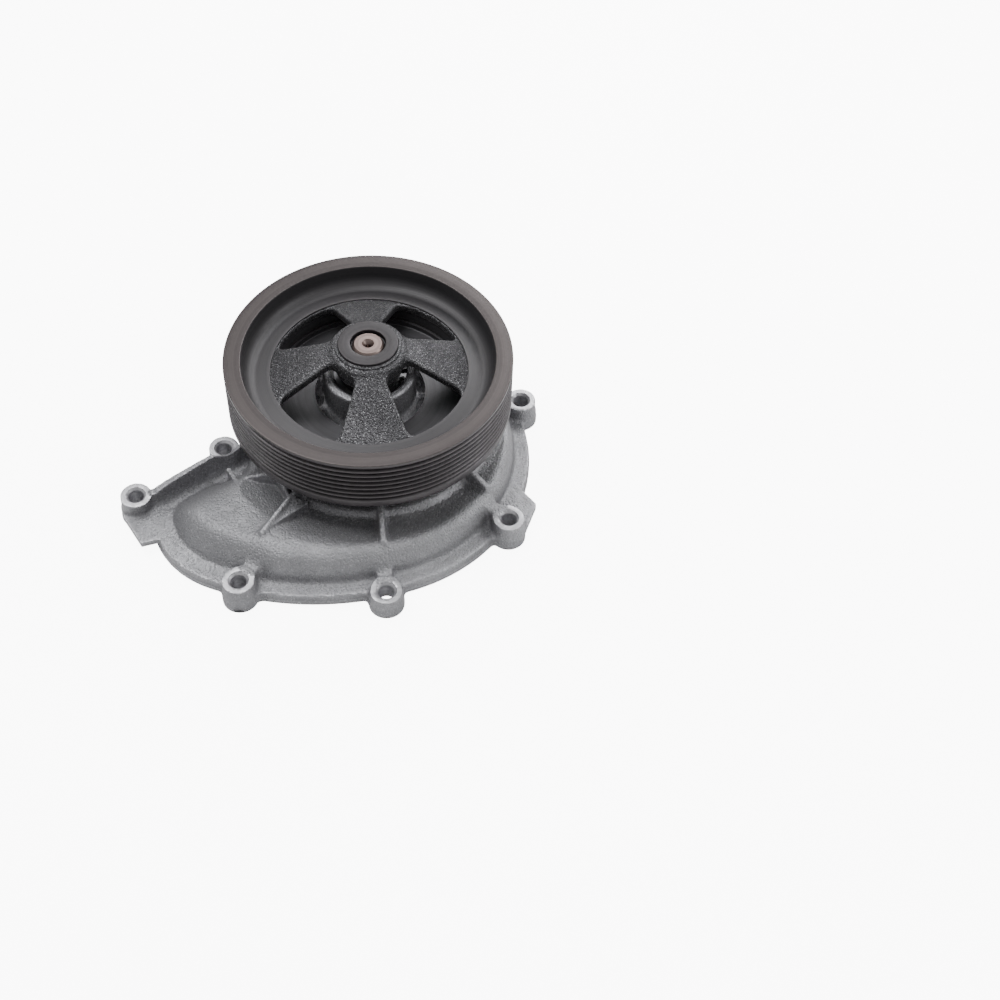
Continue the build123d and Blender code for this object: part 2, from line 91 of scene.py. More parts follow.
BOSS_R = 9.4
BOLT_R = 4.5
TOWER_R = 27.0
SEAL_BORE_R = 18.0
SEAL_BORE_TOP = 28.5
# height of the outer roof at these radii: flat over the impeller, a step, then the rising volute
ROOF_RADII = [0, 70.6, 73.0, 78, 83, 88, 94, 100, 106, 170]
ROOF_HEIGHTS = [23, 23, 20.3, 20.4, 21.6, 23.1, 24.9, 26.2, 26.6, 26.6]
ROOF_WALL = 4.5
ROOF_STEP = 0.25  # spacing of the smoothed roof table
# the low dome over the outlet rises from a lip: a point on it, its inward direction and an offset
LIP_X, LIP_Y = -110, -68
LIP_NORMAL = (0.659, -0.753)
LIP_OFFSET = 4
CIRCLIP_Z = 62.95
CIRCLIP_HALF = 0.85
WEEP_ANGLE, WEEP_R, WEEP_Z = -58, 2.0, 30.8
RIB_FOOT_R = 20
# radial ribs: polar angle, thickness, outer end and the height there
RIBS = [
    (-165, 3.0, 76, 30), (-120, 2.6, 107, 28), (-81, 3.0, 95, 27), (-35, 3.0, 87, 25),
    (13, 3.0, 76, 30), (60, 3.0, 70, 33), (105, 3.0, 70, 33), (150, 3.0, 70, 33),
]
# thin upright walls: start, end, half thickness, top at the start, rise to the end, foot fillet
THIN_WALLS = [
    ((-31, -69), (-51, -89), 0.9, 27.0, 0.6, 1.2),  # thin rib that crosses to the end of the long one
    ((-72, -48), (-49, -52), 1.0, 19.5, 13.0, 1.0),  # first leg of the folded gusset over the throat
    ((-49, -52), (-42, -62), 1.3, 32.5, -7.5, 1.0),  # its second leg
    ((-79.5, -41), (-73.5, -51), 1.2, 18.5, 3.0, 1.0),  # stub across the lip
]
SCREEN_START, SCREEN_END = (-119.5, -59.5), (-73.0, -23.5)
SCREEN_TOP, SCREEN_RISE = 18, 8.5
# sloping plate between the long rib and the thin one: its corners and their heights
PLATE = [(-38.5, -66.7, 31.0), (-53.0, -91.8, 27.0), (-31.0, -69.0, 26.0)]
TABS = [
    [(-136, -66), (-136, -71), (-123, -89), (-104, -82), (-106, -66)],
    [(86, -33), (99, -48), (93.5, -66), (82, -66), (80, -40)],
]
TAB_MIDDLE, TAB_HALF = 6.7, 2.0


# ---------------------------------------------------------------- distance fields
def polar(radius, angle):
    return radius * cos(radians(angle)), radius * sin(radians(angle))


def union(a, b, fillet=0.0):
    """Both shapes, with a fillet where they meet."""
    if not fillet:
        return np.minimum(a, b)
    share = np.clip(0.5 + 0.5 * (b - a) / fillet, 0, 1)
    return b + (a - b) * share - fillet * share * (1 - share)


def common(a, b, rounding=0.0):
    """What the two shapes share, with a rounded edge."""
    if not np.any(rounding):
        return np.maximum(a, b)
    share = np.clip(0.5 - 0.5 * (b - a) / rounding, 0, 1)
    return b + (a - b) * share + rounding * share * (1 - share)


def cut(a, b, rounding=0.0):
    return common(a, -b, rounding)


def outline_distance(points, x, y):
    """Signed distance to a closed outline in plan, negative inside."""
    nearest = 1e9
    inside = False
    for (ax, ay), (bx, by) in zip(points, points[1:] + points[:1]):
        ex, ey = bx - ax, by - ay
        px, py = x - ax, y - ay
        along = np.clip((px * ex + py * ey) / (ex * ex + ey * ey), 0, 1)
        nearest = np.minimum(nearest, (px - along * ex) ** 2 + (py - along * ey) ** 2)
        side = (px * ey < py * ex) if ey < 0 else (px * ey > py * ex)
        inside = inside ^ (((ay > y) != (by > y)) & ~side)
    return np.where(inside, -1.0, 1.0) * np.sqrt(nearest)


def plan_field(points, low, high, step=0.5):
    """An outline's distance, worked out once on a plan grid and then read between its points."""
    gx = np.arange(low[0], high[0], step)
    gy = np.arange(low[1], high[1], step)
    table = outline_distance(points, gx[:, None], gy[None, :])

    def read(x, y):
        u = np.clip((x - low[0]) / step, 0, len(gx) - 1.001)
        v = np.clip((y - low[1]) / step, 0, len(gy) - 1.001)
        i, j = u.astype(int), v.astype(int)
        u, v = u - i, v - j
        near = table[i, j] * (1 - v) + table[i, j + 1] * v
        far = table[i + 1, j] * (1 - v) + table[i + 1, j + 1] * v
        return near * (1 - u) + far * u
    return read


def bar(x, y, start, end, half_start, half_end):
    """A straight bar in plan with rounded ends, from one half width to another."""
    ex, ey = end[0] - start[0], end[1] - start[1]
    along = np.clip(((x - start[0]) * ex + (y - start[1]) * ey) / (ex * ex + ey * ey), 0, 1)
    away = np.hypot(x - start[0] - along * ex, y - start[1] - along * ey)
    return away - half_start - along * (half_end - half_start), along


def arc_points():
    """The volute wall, as close points along its arcs."""
    points = []
    angle = SPIRAL_START
    at = polar(CHAMBER_R, angle)
    for radius, end in WALL_ARCS:
        dx, dy = polar(radius, angle)
        cx, cy = at[0] - dx, at[1] - dy
        count = max(4, int(radius * radians(angle - end) / 3))
        for k in range(count):
            dx, dy = polar(radius, angle + (end - angle) * k / count)
            points.append((cx + dx, cy + dy))
        dx, dy = polar(radius, end)
        at = (cx + dx, cy + dy)
        angle = end
    return points + [at]


def chamber_points(first, last, count):
    """Points round the impeller chamber, clockwise."""
    return [polar(CHAMBER_R, first + (last - first) * k / count) for k in range(count + 1)]


PLAN_LOW, PLAN_HIGH = (-155.0, -140.0), (115.0, 105.0)
wall_line = arc_points()
outline = plan_field(wall_line + chamber_points(205, 75, 40)[:-1], PLAN_LOW, PLAN_HIGH)
water = plan_field(wall_line + TONGUE + chamber_points(251, 75, 60)[:-1], PLAN_LOW, PLAN_HIGH)


def roof_height(r):
    return np.interp(r, ROOF_TABLE_R, ROOF_TABLE_Z)


ROOF_TABLE_R = np.arange(0, ROOF_RADII[-1], ROOF_STEP)
kernel = np.exp(-0.5 * (np.arange(-12, 13) / 4.0) ** 2)
padded_roof = np.pad(np.interp(ROOF_TABLE_R, ROOF_RADII, ROOF_HEIGHTS), 12, mode="edge")
ROOF_TABLE_Z = np.convolve(padded_roof, kernel / kernel.sum(), mode="valid")


def plate_height(x, y):
    """Height of the sloping plate's plane."""
    (px, py, pz), (qx, qy, qz), (tx, ty, tz) = PLATE
    ax, ay, az = px - qx, py - qy, pz - qz
    bx, by, bz = tx - qx, ty - qy, tz - qz
    turn = ax * by - ay * bx
    lean_x = (az * by - ay * bz) / turn
    lean_y = (ax * bz - az * bx) / turn
    return qz + lean_x * (x - qx) + lean_y * (y - qy)


def cover_distance(x, y, z):
    """The cast cover, as one distance field."""
    r = np.hypot(x, y)
    edge = outline(x, y)
    # the roof sinks to a low dome towards the outlet
    inwards = (x - LIP_X) * LIP_NORMAL[0] + (y - LIP_Y) * LIP_NORMAL[1] + LIP_OFFSET
    dome = FLANGE_TOP + NOSE_RISE * np.sin(pi / 2 * np.clip(inwards / NOSE_REACH, 0, 1))
    shoulder = FLANGE_TOP + NOSE_RISE * np.sin(pi / 2 * np.clip(-edge / SHOULDER_REACH, 0, 1))
    dome = union(dome, shoulder, 9.0)
    nose = np.clip((NOSE_X - x) / NOSE_RUN, 0, 1)
    nose = nose * nose * (3 - 2 * nose) * np.clip((r - NOSE_R) / NOSE_R_RUN, 0, 1)
    roof = roof_height(r)
    roof = roof - nose * np.maximum(roof - dome, 0)
    # turns a height above the sloping roof into a distance
    slope = 1 / np.hypot(1, np.interp(r, [76, 82, 104, 110], [0, 0.42, 0.42, 0]) + 0.5 * nose)
    # flange band with a lug at each bolt and a fine step along its edge
    band = edge - FLANGE_EDGE
    for bx, by, top in BOLTS:
        lug, along = bar(x, y, (bx, by), (0.8 * bx, 0.8 * by), BOSS_R, BOSS_R - 1.5)
        band = union(band, lug, 5.0)
    step = np.clip((z - 3.6) / 0.8, 0, 1)
    solid = common(band + 0.55 * step, z - FLANGE_TOP, 1.6)
    # volute: a wall that rounds over into the roof like the side of a tube
    rounding = np.interp(r, [72, 84, 100], [3.0, 10.0, 17.0]) * (1 - 0.8 * nose)
    foot = np.minimum(edge - WALL, r - CHAMBER_R - CHAMBER_WALL)
    tube = common(foot, (z - roof) * slope, rounding)
    solid = union(solid, tube, 3.5)
    # bearing tower with a flared foot
    tower = common(r - TOWER_R, z - TOWER_TOP, 2.0)
    solid = union(solid, tower, 14.0)
    for angle, thick, reach, height in RIBS:
        ca, sa = polar(1, angle)
        out = x * ca + y * sa
        across = np.abs(y * ca - x * sa) - thick / 2 - np.clip((30 - z) * 0.04, 0, 1)
        ridge = np.interp(out, [RIB_FOOT_R, 29, 72, reach], [39, 39, 33, height])
        rib = common(across, z - ridge, 1.6)
        rib = common(rib, np.maximum(out - reach, RIB_FOOT_R - out) * 0.9, 1.0)
        solid = union(solid, rib, 3.0)
    plate = outline_distance([corner[:2] for corner in PLATE], x, y)
    solid = union(solid, common(plate, (z - plate_height(x, y)) * 0.85, 0.6), 1.0)
    for start, end, half, top, rise, fillet in THIN_WALLS:
        wall, along = bar(x, y, start, end, half, half)
        solid = union(solid, common(wall, z - top - rise * along, 0.8), fillet)
    # tall thin wall from the outlet boss to the impeller chamber, with a wide foot
    screen, along = bar(x, y, SCREEN_START, SCREEN_END, 2.0, 1.0)
    solid = union(solid, common(screen, z - SCREEN_TOP - SCREEN_RISE * along ** 0.6, 0.8), 7.0)
    # webs that tie three of the bosses to the volute
    for bx, by, top in BOLTS[1:4]:
        web, along = bar(x, y, (bx, by), (0.84 * bx, 0.84 * by), BOSS_R - 2.5, 2.5)
        solid = union(solid, common(web, z - top + 2.5 - 5 * along, 1.5), 3.0)
    # bolt bosses, drawn in slightly towards the top
    for bx, by, top in BOLTS:
        boss = np.hypot(x - bx, y - by) - BOSS_R + 0.035 * z
        solid = union(solid, common(boss, z - top, 0.5), 3.0)
    # flat tabs beside two of the bosses
    for tab in TABS:
        plate = outline_distance(tab, x, y) - 0.8
        solid = union(solid, common(plate, np.abs(z - TAB_MIDDLE) - TAB_HALF, 0.8), 1.2)
    # water space, with a rounded roof, and the impeller chamber
    solid = cut(solid, common(water(x, y) + WALL_T - WALL, (z - roof + ROOF_WALL) * slope, 8.0), 0.6)
    solid = cut(solid, np.maximum(r - CHAMBER_R, z - CHAMBER_ROOF), 0.6)
    solid = np.maximum(solid, GASKET_TOP - z)
    # seal bore, slinger space, bearing bore and circlip groove
    solid = cut(solid, np.maximum(r - SEAL_BORE_R, z - SEAL_BORE_TOP))
    solid = cut(solid, np.maximum(r - 16.0, z - BORE_FLOOR - 1))
    solid = cut(solid, np.maximum(r - BORE_R, BORE_FLOOR - z))
    solid = cut(solid, np.maximum(r - BORE_R - 1.5, np.abs(z - CIRCLIP_Z) - CIRCLIP_HALF))
    solid = cut(solid, r - BORE_R - (z - TOWER_TOP + 1.2))
    # weep hole of the slinger space
    ca, sa = polar(1, WEEP_ANGLE)
    weep = np.hypot(y * ca - x * sa, z - WEEP_Z) - WEEP_R
    solid = cut(solid, np.maximum(weep, -(x * ca + y * sa)))
    # bolt holes with a chamfered mouth
    for bx, by, top in BOLTS:
        hole = np.hypot(x - bx, y - by) - BOLT_R - np.maximum(z - top + 1.3, 0)
        solid = cut(solid, hole)
    return solid


# ---------------------------------------------------------------- the pulley's spoked centre
COLLAR_R = 18.6
HUB_R = 17.2
CONE_TOP = HUB_TOP - 4.0
CONE_SLOPE = 0.5
SPIDER_R = 58.0
SPIDER_T = 6.6
WINDOW_FIRST = 53.0
WINDOW_HALF = 24.5
WINDOW_R0, WINDOW_R1 = 22.0, 56.0
WINDOW_COUNT = 4
WAVE_HEIGHT = 0.05
NECK_MIDDLE, NECK_HALF = 75.5, 7.2
HUB_BOTTOM = 68.0
SHAFT_R = 9.0


def spider_distance(x, y, z):
    """Four cast spokes that fall like a cone from the hub to the rim."""
    r = np.hypot(x, y)
    turn = np.degrees(np.arctan2(y, x))
    fall = z - CONE_TOP + CONE_SLOPE * (r - 20)
    waves = np.sin(x * 1.3 + 2 * np.sin(y * 0.9)) * np.sin(y * 1.1 + z * 0.8 + 1.7 * np.sin(x * 0.7))
    steep = 1 / hypot(1, CONE_SLOPE)
    cone = common(fall * steep + WAVE_HEIGHT * waves, (-fall - SPIDER_T) * steep, 0.8)
    cone = common(cone, np.maximum(r - SPIDER_R - 1.5, 12.0 - r), 0.5)
    for window in range(WINDOW_COUNT):
        off = np.abs((turn - WINDOW_FIRST - 360 / WINDOW_COUNT * window + 180) % 360 - 180)
        sides = np.where(off < 90, r * np.sin(np.radians(off - WINDOW_HALF)), 99.0)
        opening = common(sides, np.maximum(WINDOW_R0 - r, r - WINDOW_R1), 6.0)
        cone = cut(cone, opening, 2.2)
    neck = common(r - COLLAR_R - 1.0, np.abs(z - NECK_MIDDLE) - NECK_HALF, 1.5)
    cone = union(cone, neck, 4.0)
    return cut(cone, r - SHAFT_R - 1.0)


# ---------------------------------------------------------------- meshing
def surface_directions(distance, spots):
    """Outward directions of a distance field at these spots."""
    reach = 0.04  # how far each side of a spot the field is read
    slopes = []
    for axis in range(3):
        shift = np.zeros(3)
        shift[axis] = reach
        ahead = distance(*(spots + shift).T)
        behind = distance(*(spots - shift).T)
        slopes.append(ahead - behind)
    slopes = np.stack(slopes, 1)
    return slopes / np.maximum(np.linalg.norm(slopes, axis=1, keepdims=True), 1e-9)


def contour(distance, low, high, step):
    """Points and faces of a field's surface: one point in each cell, set so that edges stay sharp."""
    ticks = [np.arange(a, b + step, step) for a, b in zip(low, high)]
    field = distance(ticks[0][:, None, None], ticks[1][None, :, None], ticks[2][None, None, :])
    shape = np.array(field.shape)
    inside = field < 0
    spots, owners, rings = [], [], []
    for axis in range(3):
        near = [slice(None)] * 3
        far = [slice(None)] * 3
        near[axis] = slice(None, -1)
        far[axis] = slice(1, None)
        at = np.argwhere(inside[tuple(near)] != inside[tuple(far)])
        other = [a for a in range(3) if a != axis]
        at = at[np.all((at[:, other] > 0) & (at[:, other] < shape[other] - 1), axis=1)]
        unit = np.zeros(3, int)
        unit[axis] = 1
        start = field[tuple(at.T)]
        end = field[tuple((at + unit).T)]
        share = start / (start - end)
        spots.append(np.array(low) + (at + share[:, None] * unit) * step)
        corner = []
        for da, db in ((0, 0), (-1, 0), (-1, -1), (0, -1)):
            cell = at.copy()
            cell[:, (axis + 1) % 3] += da
            cell[:, (axis + 2) % 3] += db
            corner.append(np.ravel_multi_index(cell.T, shape))
        ring = np.stack(corner, 1)
        ring[start >= 0] = ring[start >= 0][:, ::-1]
        rings.append(ring)
        owners.append(np.stack(corner, 1))
    spots = np.vstack(spots)
    owners = np.vstack(owners)
    rings = np.vstack(rings)
    facing = surface_directions(distance, spots)
    cells, index = np.unique(owners.ravel(), return_inverse=True)
    index = index.reshape(owners.shape)
    count = np.bincount(index.ravel(), minlength=len(cells)).astype(float)
    middle = np.zeros((len(cells), 3))
    for k in range(3):
        middle[:, k] = np.bincount(index.ravel(), np.repeat(spots[:, k], 4), len(cells)) / count
    square = np.zeros((len(cells), 3, 3))
    pull = np.zeros((len(cells), 3))
    for side in range(4):
        home = index[:, side]
        offset = np.einsum("ij,ij->i", facing, spots - middle[home])
        for a in range(3):
            pull[:, a] += np.bincount(home, facing[:, a] * offset, len(cells))
            for b in range(3):
                square[:, a, b] += np.bincount(home, facing[:, a] * facing[:, b], len(cells))
    square += 0.06 * np.eye(3)  # holds a point near its cell's middle where the surface is flat
    points = middle + np.linalg.solve(square, pull[:, :, None])[:, :, 0]
    base = np.array(low) + np.stack(np.unravel_index(cells, shape), 1) * step
    points = np.clip(points, base, base + step)
    return points, np.searchsorted(cells, rings)


def make_mesh(name, points, faces, parts=None):
    """A mesh from millimetre points and equal-sized faces."""
    mesh = bpy.data.meshes.new(name)
    faces = np.asarray(faces, np.int32)
    corners = faces.shape[1]
    mesh.vertices.add(len(points))
    mesh.vertices.foreach_set("co", (np.asarray(points) * MM).astype(np.float32).ravel())
    mesh.loops.add(faces.size)
    mesh.loops.foreach_set("vertex_index", faces.ravel())
    mesh.polygons.add(len(faces))
    mesh.polygons.foreach_set("loop_start", np.arange(0, faces.size, corners, dtype=np.int32))
    if parts is not None:
        mesh.polygons.foreach_set("material_index", np.asarray(parts, np.int32))
    mesh.update(calc_edges=True)
    mesh.validate()
    return mesh


def shade_smooth(mesh, sharp_angle=None):
    mesh.polygons.foreach_set("use_smooth", np.ones(len(mesh.polygons), bool))
    if sharp_angle:
        mesh.set_sharp_from_angle(angle=radians(sharp_angle))


def read_all(items, field, width, kind=np.float32):
    """One field of every vertex, edge or face, in rows."""
    values = np.zeros(len(items) * width, kind)
    items.foreach_get(field, values)
    return values.reshape(-1, width)


def place(name, mesh, crease=35.0):
    """An object for a finished mesh, smooth except at its sharp edges."""
    obj = bpy.data.objects.new(name, mesh)
    bpy.context.scene.collection.objects.link(obj)
    shade_smooth(mesh, crease)
    return obj


def settle(obj):
    """Replaces an object's mesh by what its modifiers make of it."""
    depsgraph = bpy.context.evaluated_depsgraph_get()
    made = bpy.data.meshes.new_from_object(obj.evaluated_get(depsgraph))
    obj.modifiers.clear()
    obj.data = made
    return obj


def thin_out(obj, most):
    """Joins flat neighbours until no more than this many triangles are left."""
    triangles = sum(len(p.vertices) - 2 for p in obj.data.polygons)
    if triangles > most:
        modifier = obj.modifiers.new("thin", "DECIMATE")
        modifier.ratio = most / triangles
        settle(obj)


def lathe(profile, segments=256):
    """A closed profile of (radius, height) points turned round the shaft axis."""
    count = len(profile)
    turns = np.radians(np.arange(segments) * 360.0 / segments)
    radius = np.array([p[0] for p in profile])
    height = np.array([p[1] for p in profile])
    points = np.stack([
        np.outer(np.cos(turns), radius), np.outer(np.sin(turns), radius),
        np.broadcast_to(height, (segments, count)),
    ], 2).reshape(-1, 3)
    s, k = np.meshgrid(np.arange(segments), np.arange(count), indexing="ij")
    s2, k2 = (s + 1) % segments, (k + 1) % count
    faces = np.stack([s * count + k, s2 * count + k, s2 * count + k2, s * count + k2], 2).reshape(-1, 4)
    area = sum(a[0] * b[1] - b[0] * a[1] for a, b in zip(profile, profile[1:] + profile[:1]))
    if area < 0:
        faces = faces[:, ::-1]
    return points, faces


def rounded(profile, radius, steps=4, sharp=()):
    """A profile with every corner rounded, apart from the ones numbered in sharp."""
    result = []
    for k, (px, py) in enumerate(profile):
        ax, ay = profile[k - 1]
        bx, by = profile[(k + 1) % len(profile)]
        la, lb = hypot(ax - px, ay - py), hypot(bx - px, by - py)
        reach = min(radius, 0.4 * la, 0.4 * lb)
        if k in sharp or reach < 0.05:
            result.append((px, py))
            continue
        start = (px + (ax - px) * reach / la, py + (ay - py) * reach / la)
        end = (px + (bx - px) * reach / lb, py + (by - py) * reach / lb)
        for step in range(steps + 1):
            t = step / steps
            result.append((
                (1 - t) ** 2 * start[0] + 2 * t * (1 - t) * px + t * t * end[0],
                (1 - t) ** 2 * start[1] + 2 * t * (1 - t) * py + t * t * end[1],
            ))
    return result


def add_edge_values(mesh):
    """Stores how far each vertex stands out from its neighbours, for rubbed outer edges and painted
    shade in inner corners.
    """
    count = len(mesh.vertices)
    points = read_all(mesh.vertices, "co", 3)
    normals = read_all(mesh.vertex_normals, "vector", 3)
    pairs = read_all(mesh.edges, "vertices", 2, np.int32)
    total = np.zeros(count)
    near = np.zeros(count)
    for a, b in ((0, 1), (1, 0)):
        here, there = pairs[:, a], pairs[:, b]
        apart = points[here] - points[there]
        length = np.maximum(np.linalg.norm(apart, axis=1), 1e-9)
        total += np.bincount(here, np.einsum("ij,ij->i", apart, normals[here]) / length, count)
        near += np.bincount(here, minlength=count)
    value = np.clip(total / np.maximum(near, 1) * 2.5, -1, 1)
    layer = mesh.attributes.new("edge", "FLOAT", "POINT")
    layer.data.foreach_set("value", value.astype(np.float32))


# ---------------------------------------------------------------- shader helpers
def link(tree, source, target):
    tree.links.new(source, target)


def node(tree, kind, **settings):
    """A shader or geometry node with its settings and input values."""
    made = tree.nodes.new(kind)
    inputs = settings.pop("inputs", {})
    for key, value in settings.items():
        setattr(made, key, value)
    for key, value in inputs.items():
        if isinstance(value, bpy.types.NodeSocket):
            tree.links.new(value, made.inputs[key])
        else:
            made.inputs[key].default_value = value
    return made


def new_group(name, kind, inputs, outputs):
    """An empty node group with named inputs and outputs."""
    tree = bpy.data.node_groups.new(name, kind)
    for label, socket, default in inputs:
        made = tree.interface.new_socket(name=label, in_out="INPUT", socket_type=socket)
        if default is not None:
            made.default_value = default
    for label, socket in outputs:
        tree.interface.new_socket(name=label, in_out="OUTPUT", socket_type=socket)
    start = tree.nodes.new("NodeGroupInput")
    end = tree.nodes.new("NodeGroupOutput")
    return tree, start, end


def noise(tree, vector, scale, detail=3.0, rough=0.55):
    values = {"Scale": scale, "Detail": detail, "Roughness": rough}
    made = node(tree, "ShaderNodeTexNoise", inputs=values)
    link(tree, vector, made.inputs["Vector"])
    return made.outputs["Fac"]


def math(tree, operation, a, b=0.0, clamp=False):
    made = node(tree, "ShaderNodeMath", operation=operation, use_clamp=clamp)
    for place_in, value in zip(made.inputs, (a, b)):
        if isinstance(value, bpy.types.NodeSocket):
            link(tree, value, place_in)
        else:
            place_in.default_value = value
    return made.outputs[0]


def spread(tree, value, low, high, to_low=0.0, to_high=1.0):
    made = node(tree, "ShaderNodeMapRange", inputs={
        "Value": value, "From Min": low, "From Max": high, "To Min": to_low, "To Max": to_high})
    made.clamp = True
    return made.outputs["Result"]


def build_cast_grain():
    """Sand-cast skin: fine pits, coarse lumps, the light and dark patches they leave, and painted glints
    on the raised grain.
    """
    tree, start, end = new_group("cast_grain", "ShaderNodeTree", [
        ("Vector", "NodeSocketVector", None), ("Grain", "NodeSocketFloat", 1400.0),
        ("Lumps", "NodeSocketFloat", 160.0), ("Pits", "NodeSocketFloat", 0.5),
    ], [("Height", "NodeSocketFloat"), ("Patches", "NodeSocketFloat"), ("Grain Glints", "NodeSocketFloat")])
    at = start.outputs["Vector"]
    fine = noise(tree, at, start.outputs["Grain"], 4.0, 0.65)
    lumps = noise(tree, at, start.outputs["Lumps"], 3.0, 0.5)
    cells = node(tree, "ShaderNodeTexVoronoi", feature="F1")
    link(tree, at, cells.inputs["Vector"])
    link(tree, math(tree, "MULTIPLY", start.outputs["Grain"], 0.62), cells.inputs["Scale"])
    pit = spread(tree, cells.outputs["Distance"], 0.1, 0.55)
    pits = math(tree, "MULTIPLY", pit, start.outputs["Pits"])
    grains = math(tree, "ADD", math(tree, "MULTIPLY", fine, 0.5), pits)
    height = math(tree, "ADD", grains, math(tree, "MULTIPLY", lumps, 0.6))
    patches = spread(tree, noise(tree, at, 26.0, 5.0, 0.6), 0.3, 0.7)
    # bright specks at the peaks of the fine grain: painted glints
    grain_glints = spread(tree, fine, 0.56, 0.70)
    link(tree, height, end.inputs["Height"])
    link(tree, patches, end.inputs["Patches"])
    link(tree, grain_glints, end.inputs["Grain Glints"])
    return tree


def build_turning_marks():
    """Rings left by a lathe tool round the Z axis: fine lines and slow bands."""
    tree, start, end = new_group("turning_marks", "ShaderNodeTree", [
        ("Vector", "NodeSocketVector", None), ("Pitch", "NodeSocketFloat", 3000.0),
    ], [("Height", "NodeSocketFloat"), ("Bands", "NodeSocketFloat")])
    split = node(tree, "ShaderNodeSeparateXYZ")
    link(tree, start.outputs["Vector"], split.inputs[0])
    square = math(tree, "ADD", math(tree, "MULTIPLY", split.outputs[0], split.outputs[0]),
                  math(tree, "MULTIPLY", split.outputs[1], split.outputs[1]))
    radius = math(tree, "SQRT", square)
    reach = node(tree, "ShaderNodeCombineXYZ")
    link(tree, radius, reach.inputs[0])
    link(tree, split.outputs[2], reach.inputs[1])
    lines = noise(tree, reach.outputs[0], start.outputs["Pitch"], 2.0, 0.6)
    bands = noise(tree, reach.outputs[0], 420.0, 3.0, 0.6)
    link(tree, lines, end.inputs["Height"])
    link(tree, bands, end.inputs["Bands"])
    return tree


def build_edge_wear_and_shade():
    """Where outer edges are rubbed bright, and painted shade that darkens inner corners, from the stored
    edge value.
    """
    tree, start, end = new_group("edge_wear_and_crease_shade", "ShaderNodeTree", [
        ("Vector", "NodeSocketVector", None), ("Amount", "NodeSocketFloat", 1.0),
    ], [("Worn", "NodeSocketFloat"), ("Crease Shade", "NodeSocketFloat")])
    stored = node(tree, "ShaderNodeAttribute", attribute_type="GEOMETRY", attribute_name="edge")
    ragged = spread(tree, noise(tree, start.outputs["Vector"], 220.0, 4.0, 0.6), 0.35, 0.65, 0.4, 1.0)
    worn = math(tree, "MULTIPLY", spread(tree, stored.outputs["Fac"], 0.10, 0.75), ragged)
    worn = math(tree, "MULTIPLY", worn, start.outputs["Amount"], clamp=True)
    # darker where the surface folds inwards: painted shade in inner corners
    crease_shade = spread(tree, stored.outputs["Fac"], -0.08, -0.6)
    link(tree, worn, end.inputs["Worn"])
    link(tree, crease_shade, end.inputs["Crease Shade"])
    return tree


CAST_GRAIN = build_cast_grain()
TURNING_MARKS = build_turning_marks()
EDGE_WEAR_AND_SHADE = build_edge_wear_and_shade()


def start_material(name, metallic, roughness, **plain):
    """A material with its Principled shader and the object's own coordinates."""
    made = bpy.data.materials.new(name)
    made.use_nodes = True
    tree = made.node_tree
    shader = tree.nodes["Principled BSDF"]
    shader.inputs["Metallic"].default_value = metallic
    shader.inputs["Roughness"].default_value = roughness
    for key, value in plain.items():
        shader.inputs[key.replace("_", " ")].default_value = value
    spot = tree.nodes.new("ShaderNodeTexCoord").outputs["Object"]
    return made, tree, shader, spot


def blend(tree, share, first, second, how="MIX"):
    """Mixes two colours by a share."""
    made = node(tree, "ShaderNodeMix", data_type="RGBA", blend_type=how)
    for number, value in ((0, share), (6, first), (7, second)):
        place_in = made.inputs[number]
        if isinstance(value, bpy.types.NodeSocket):
            link(tree, value, place_in)
        elif isinstance(value, tuple):
            place_in.default_value = (*value, 1.0)
        else:
            place_in.default_value = value
    return made.outputs[2]


def use_group(tree, group, **inputs):
    made = tree.nodes.new("ShaderNodeGroup")
    made.node_tree = group
    for key, value in inputs.items():
        if isinstance(value, bpy.types.NodeSocket):
            link(tree, value, made.inputs[key])
        else:
            made.inputs[key].default_value = value
    return made


def set_bump(tree, shader, height, strength, reach_mm):
    bump = node(tree, "ShaderNodeBump", inputs={"Strength": strength, "Distance": reach_mm * MM})
    link(tree, height, bump.inputs["Height"])
    link(tree, bump.outputs[0], shader.inputs["Normal"])


def cast_metal(name, light, dark, bright, roughness, metallic=1.0, grain=1400.0, lumps=160.0,
               depth=0.25, pits=0.5, grain_glints=0.25, strength=0.6):
    """Rough cast metal: mottled colour, painted glints on the raised grain, grainy bump, rubbed edges
    and painted shade in inner corners.
    """
    made, tree, shader, spot = start_material(name, metallic, roughness)
    skin = use_group(tree, CAST_GRAIN, Vector=spot, Grain=grain, Lumps=lumps, Pits=pits)
    wear_and_shade = use_group(tree, EDGE_WEAR_AND_SHADE, Vector=spot)
    colour = blend(tree, skin.outputs["Patches"], dark, light)
    # painted glints on the raised grain
    colour = blend(tree, math(tree, "MULTIPLY", skin.outputs["Grain Glints"], grain_glints), colour, bright)
    colour = blend(tree, math(tree, "MULTIPLY", wear_and_shade.outputs["Worn"], 0.7), colour, bright)
    # painted shade in inner corners
    colour = blend(tree, math(tree, "MULTIPLY", wear_and_shade.outputs["Crease Shade"], 0.35), colour, dark)
    link(tree, colour, shader.inputs["Base Color"])
    gloss = spread(tree, skin.outputs["Patches"], 0.0, 1.0, roughness + 0.06, roughness - 0.05)
    link(tree, math(tree, "SUBTRACT", gloss, math(tree, "MULTIPLY", wear_and_shade.outputs["Worn"], 0.12)),
         shader.inputs["Roughness"])
    set_bump(tree, shader, skin.outputs["Height"], strength, depth)
    return made


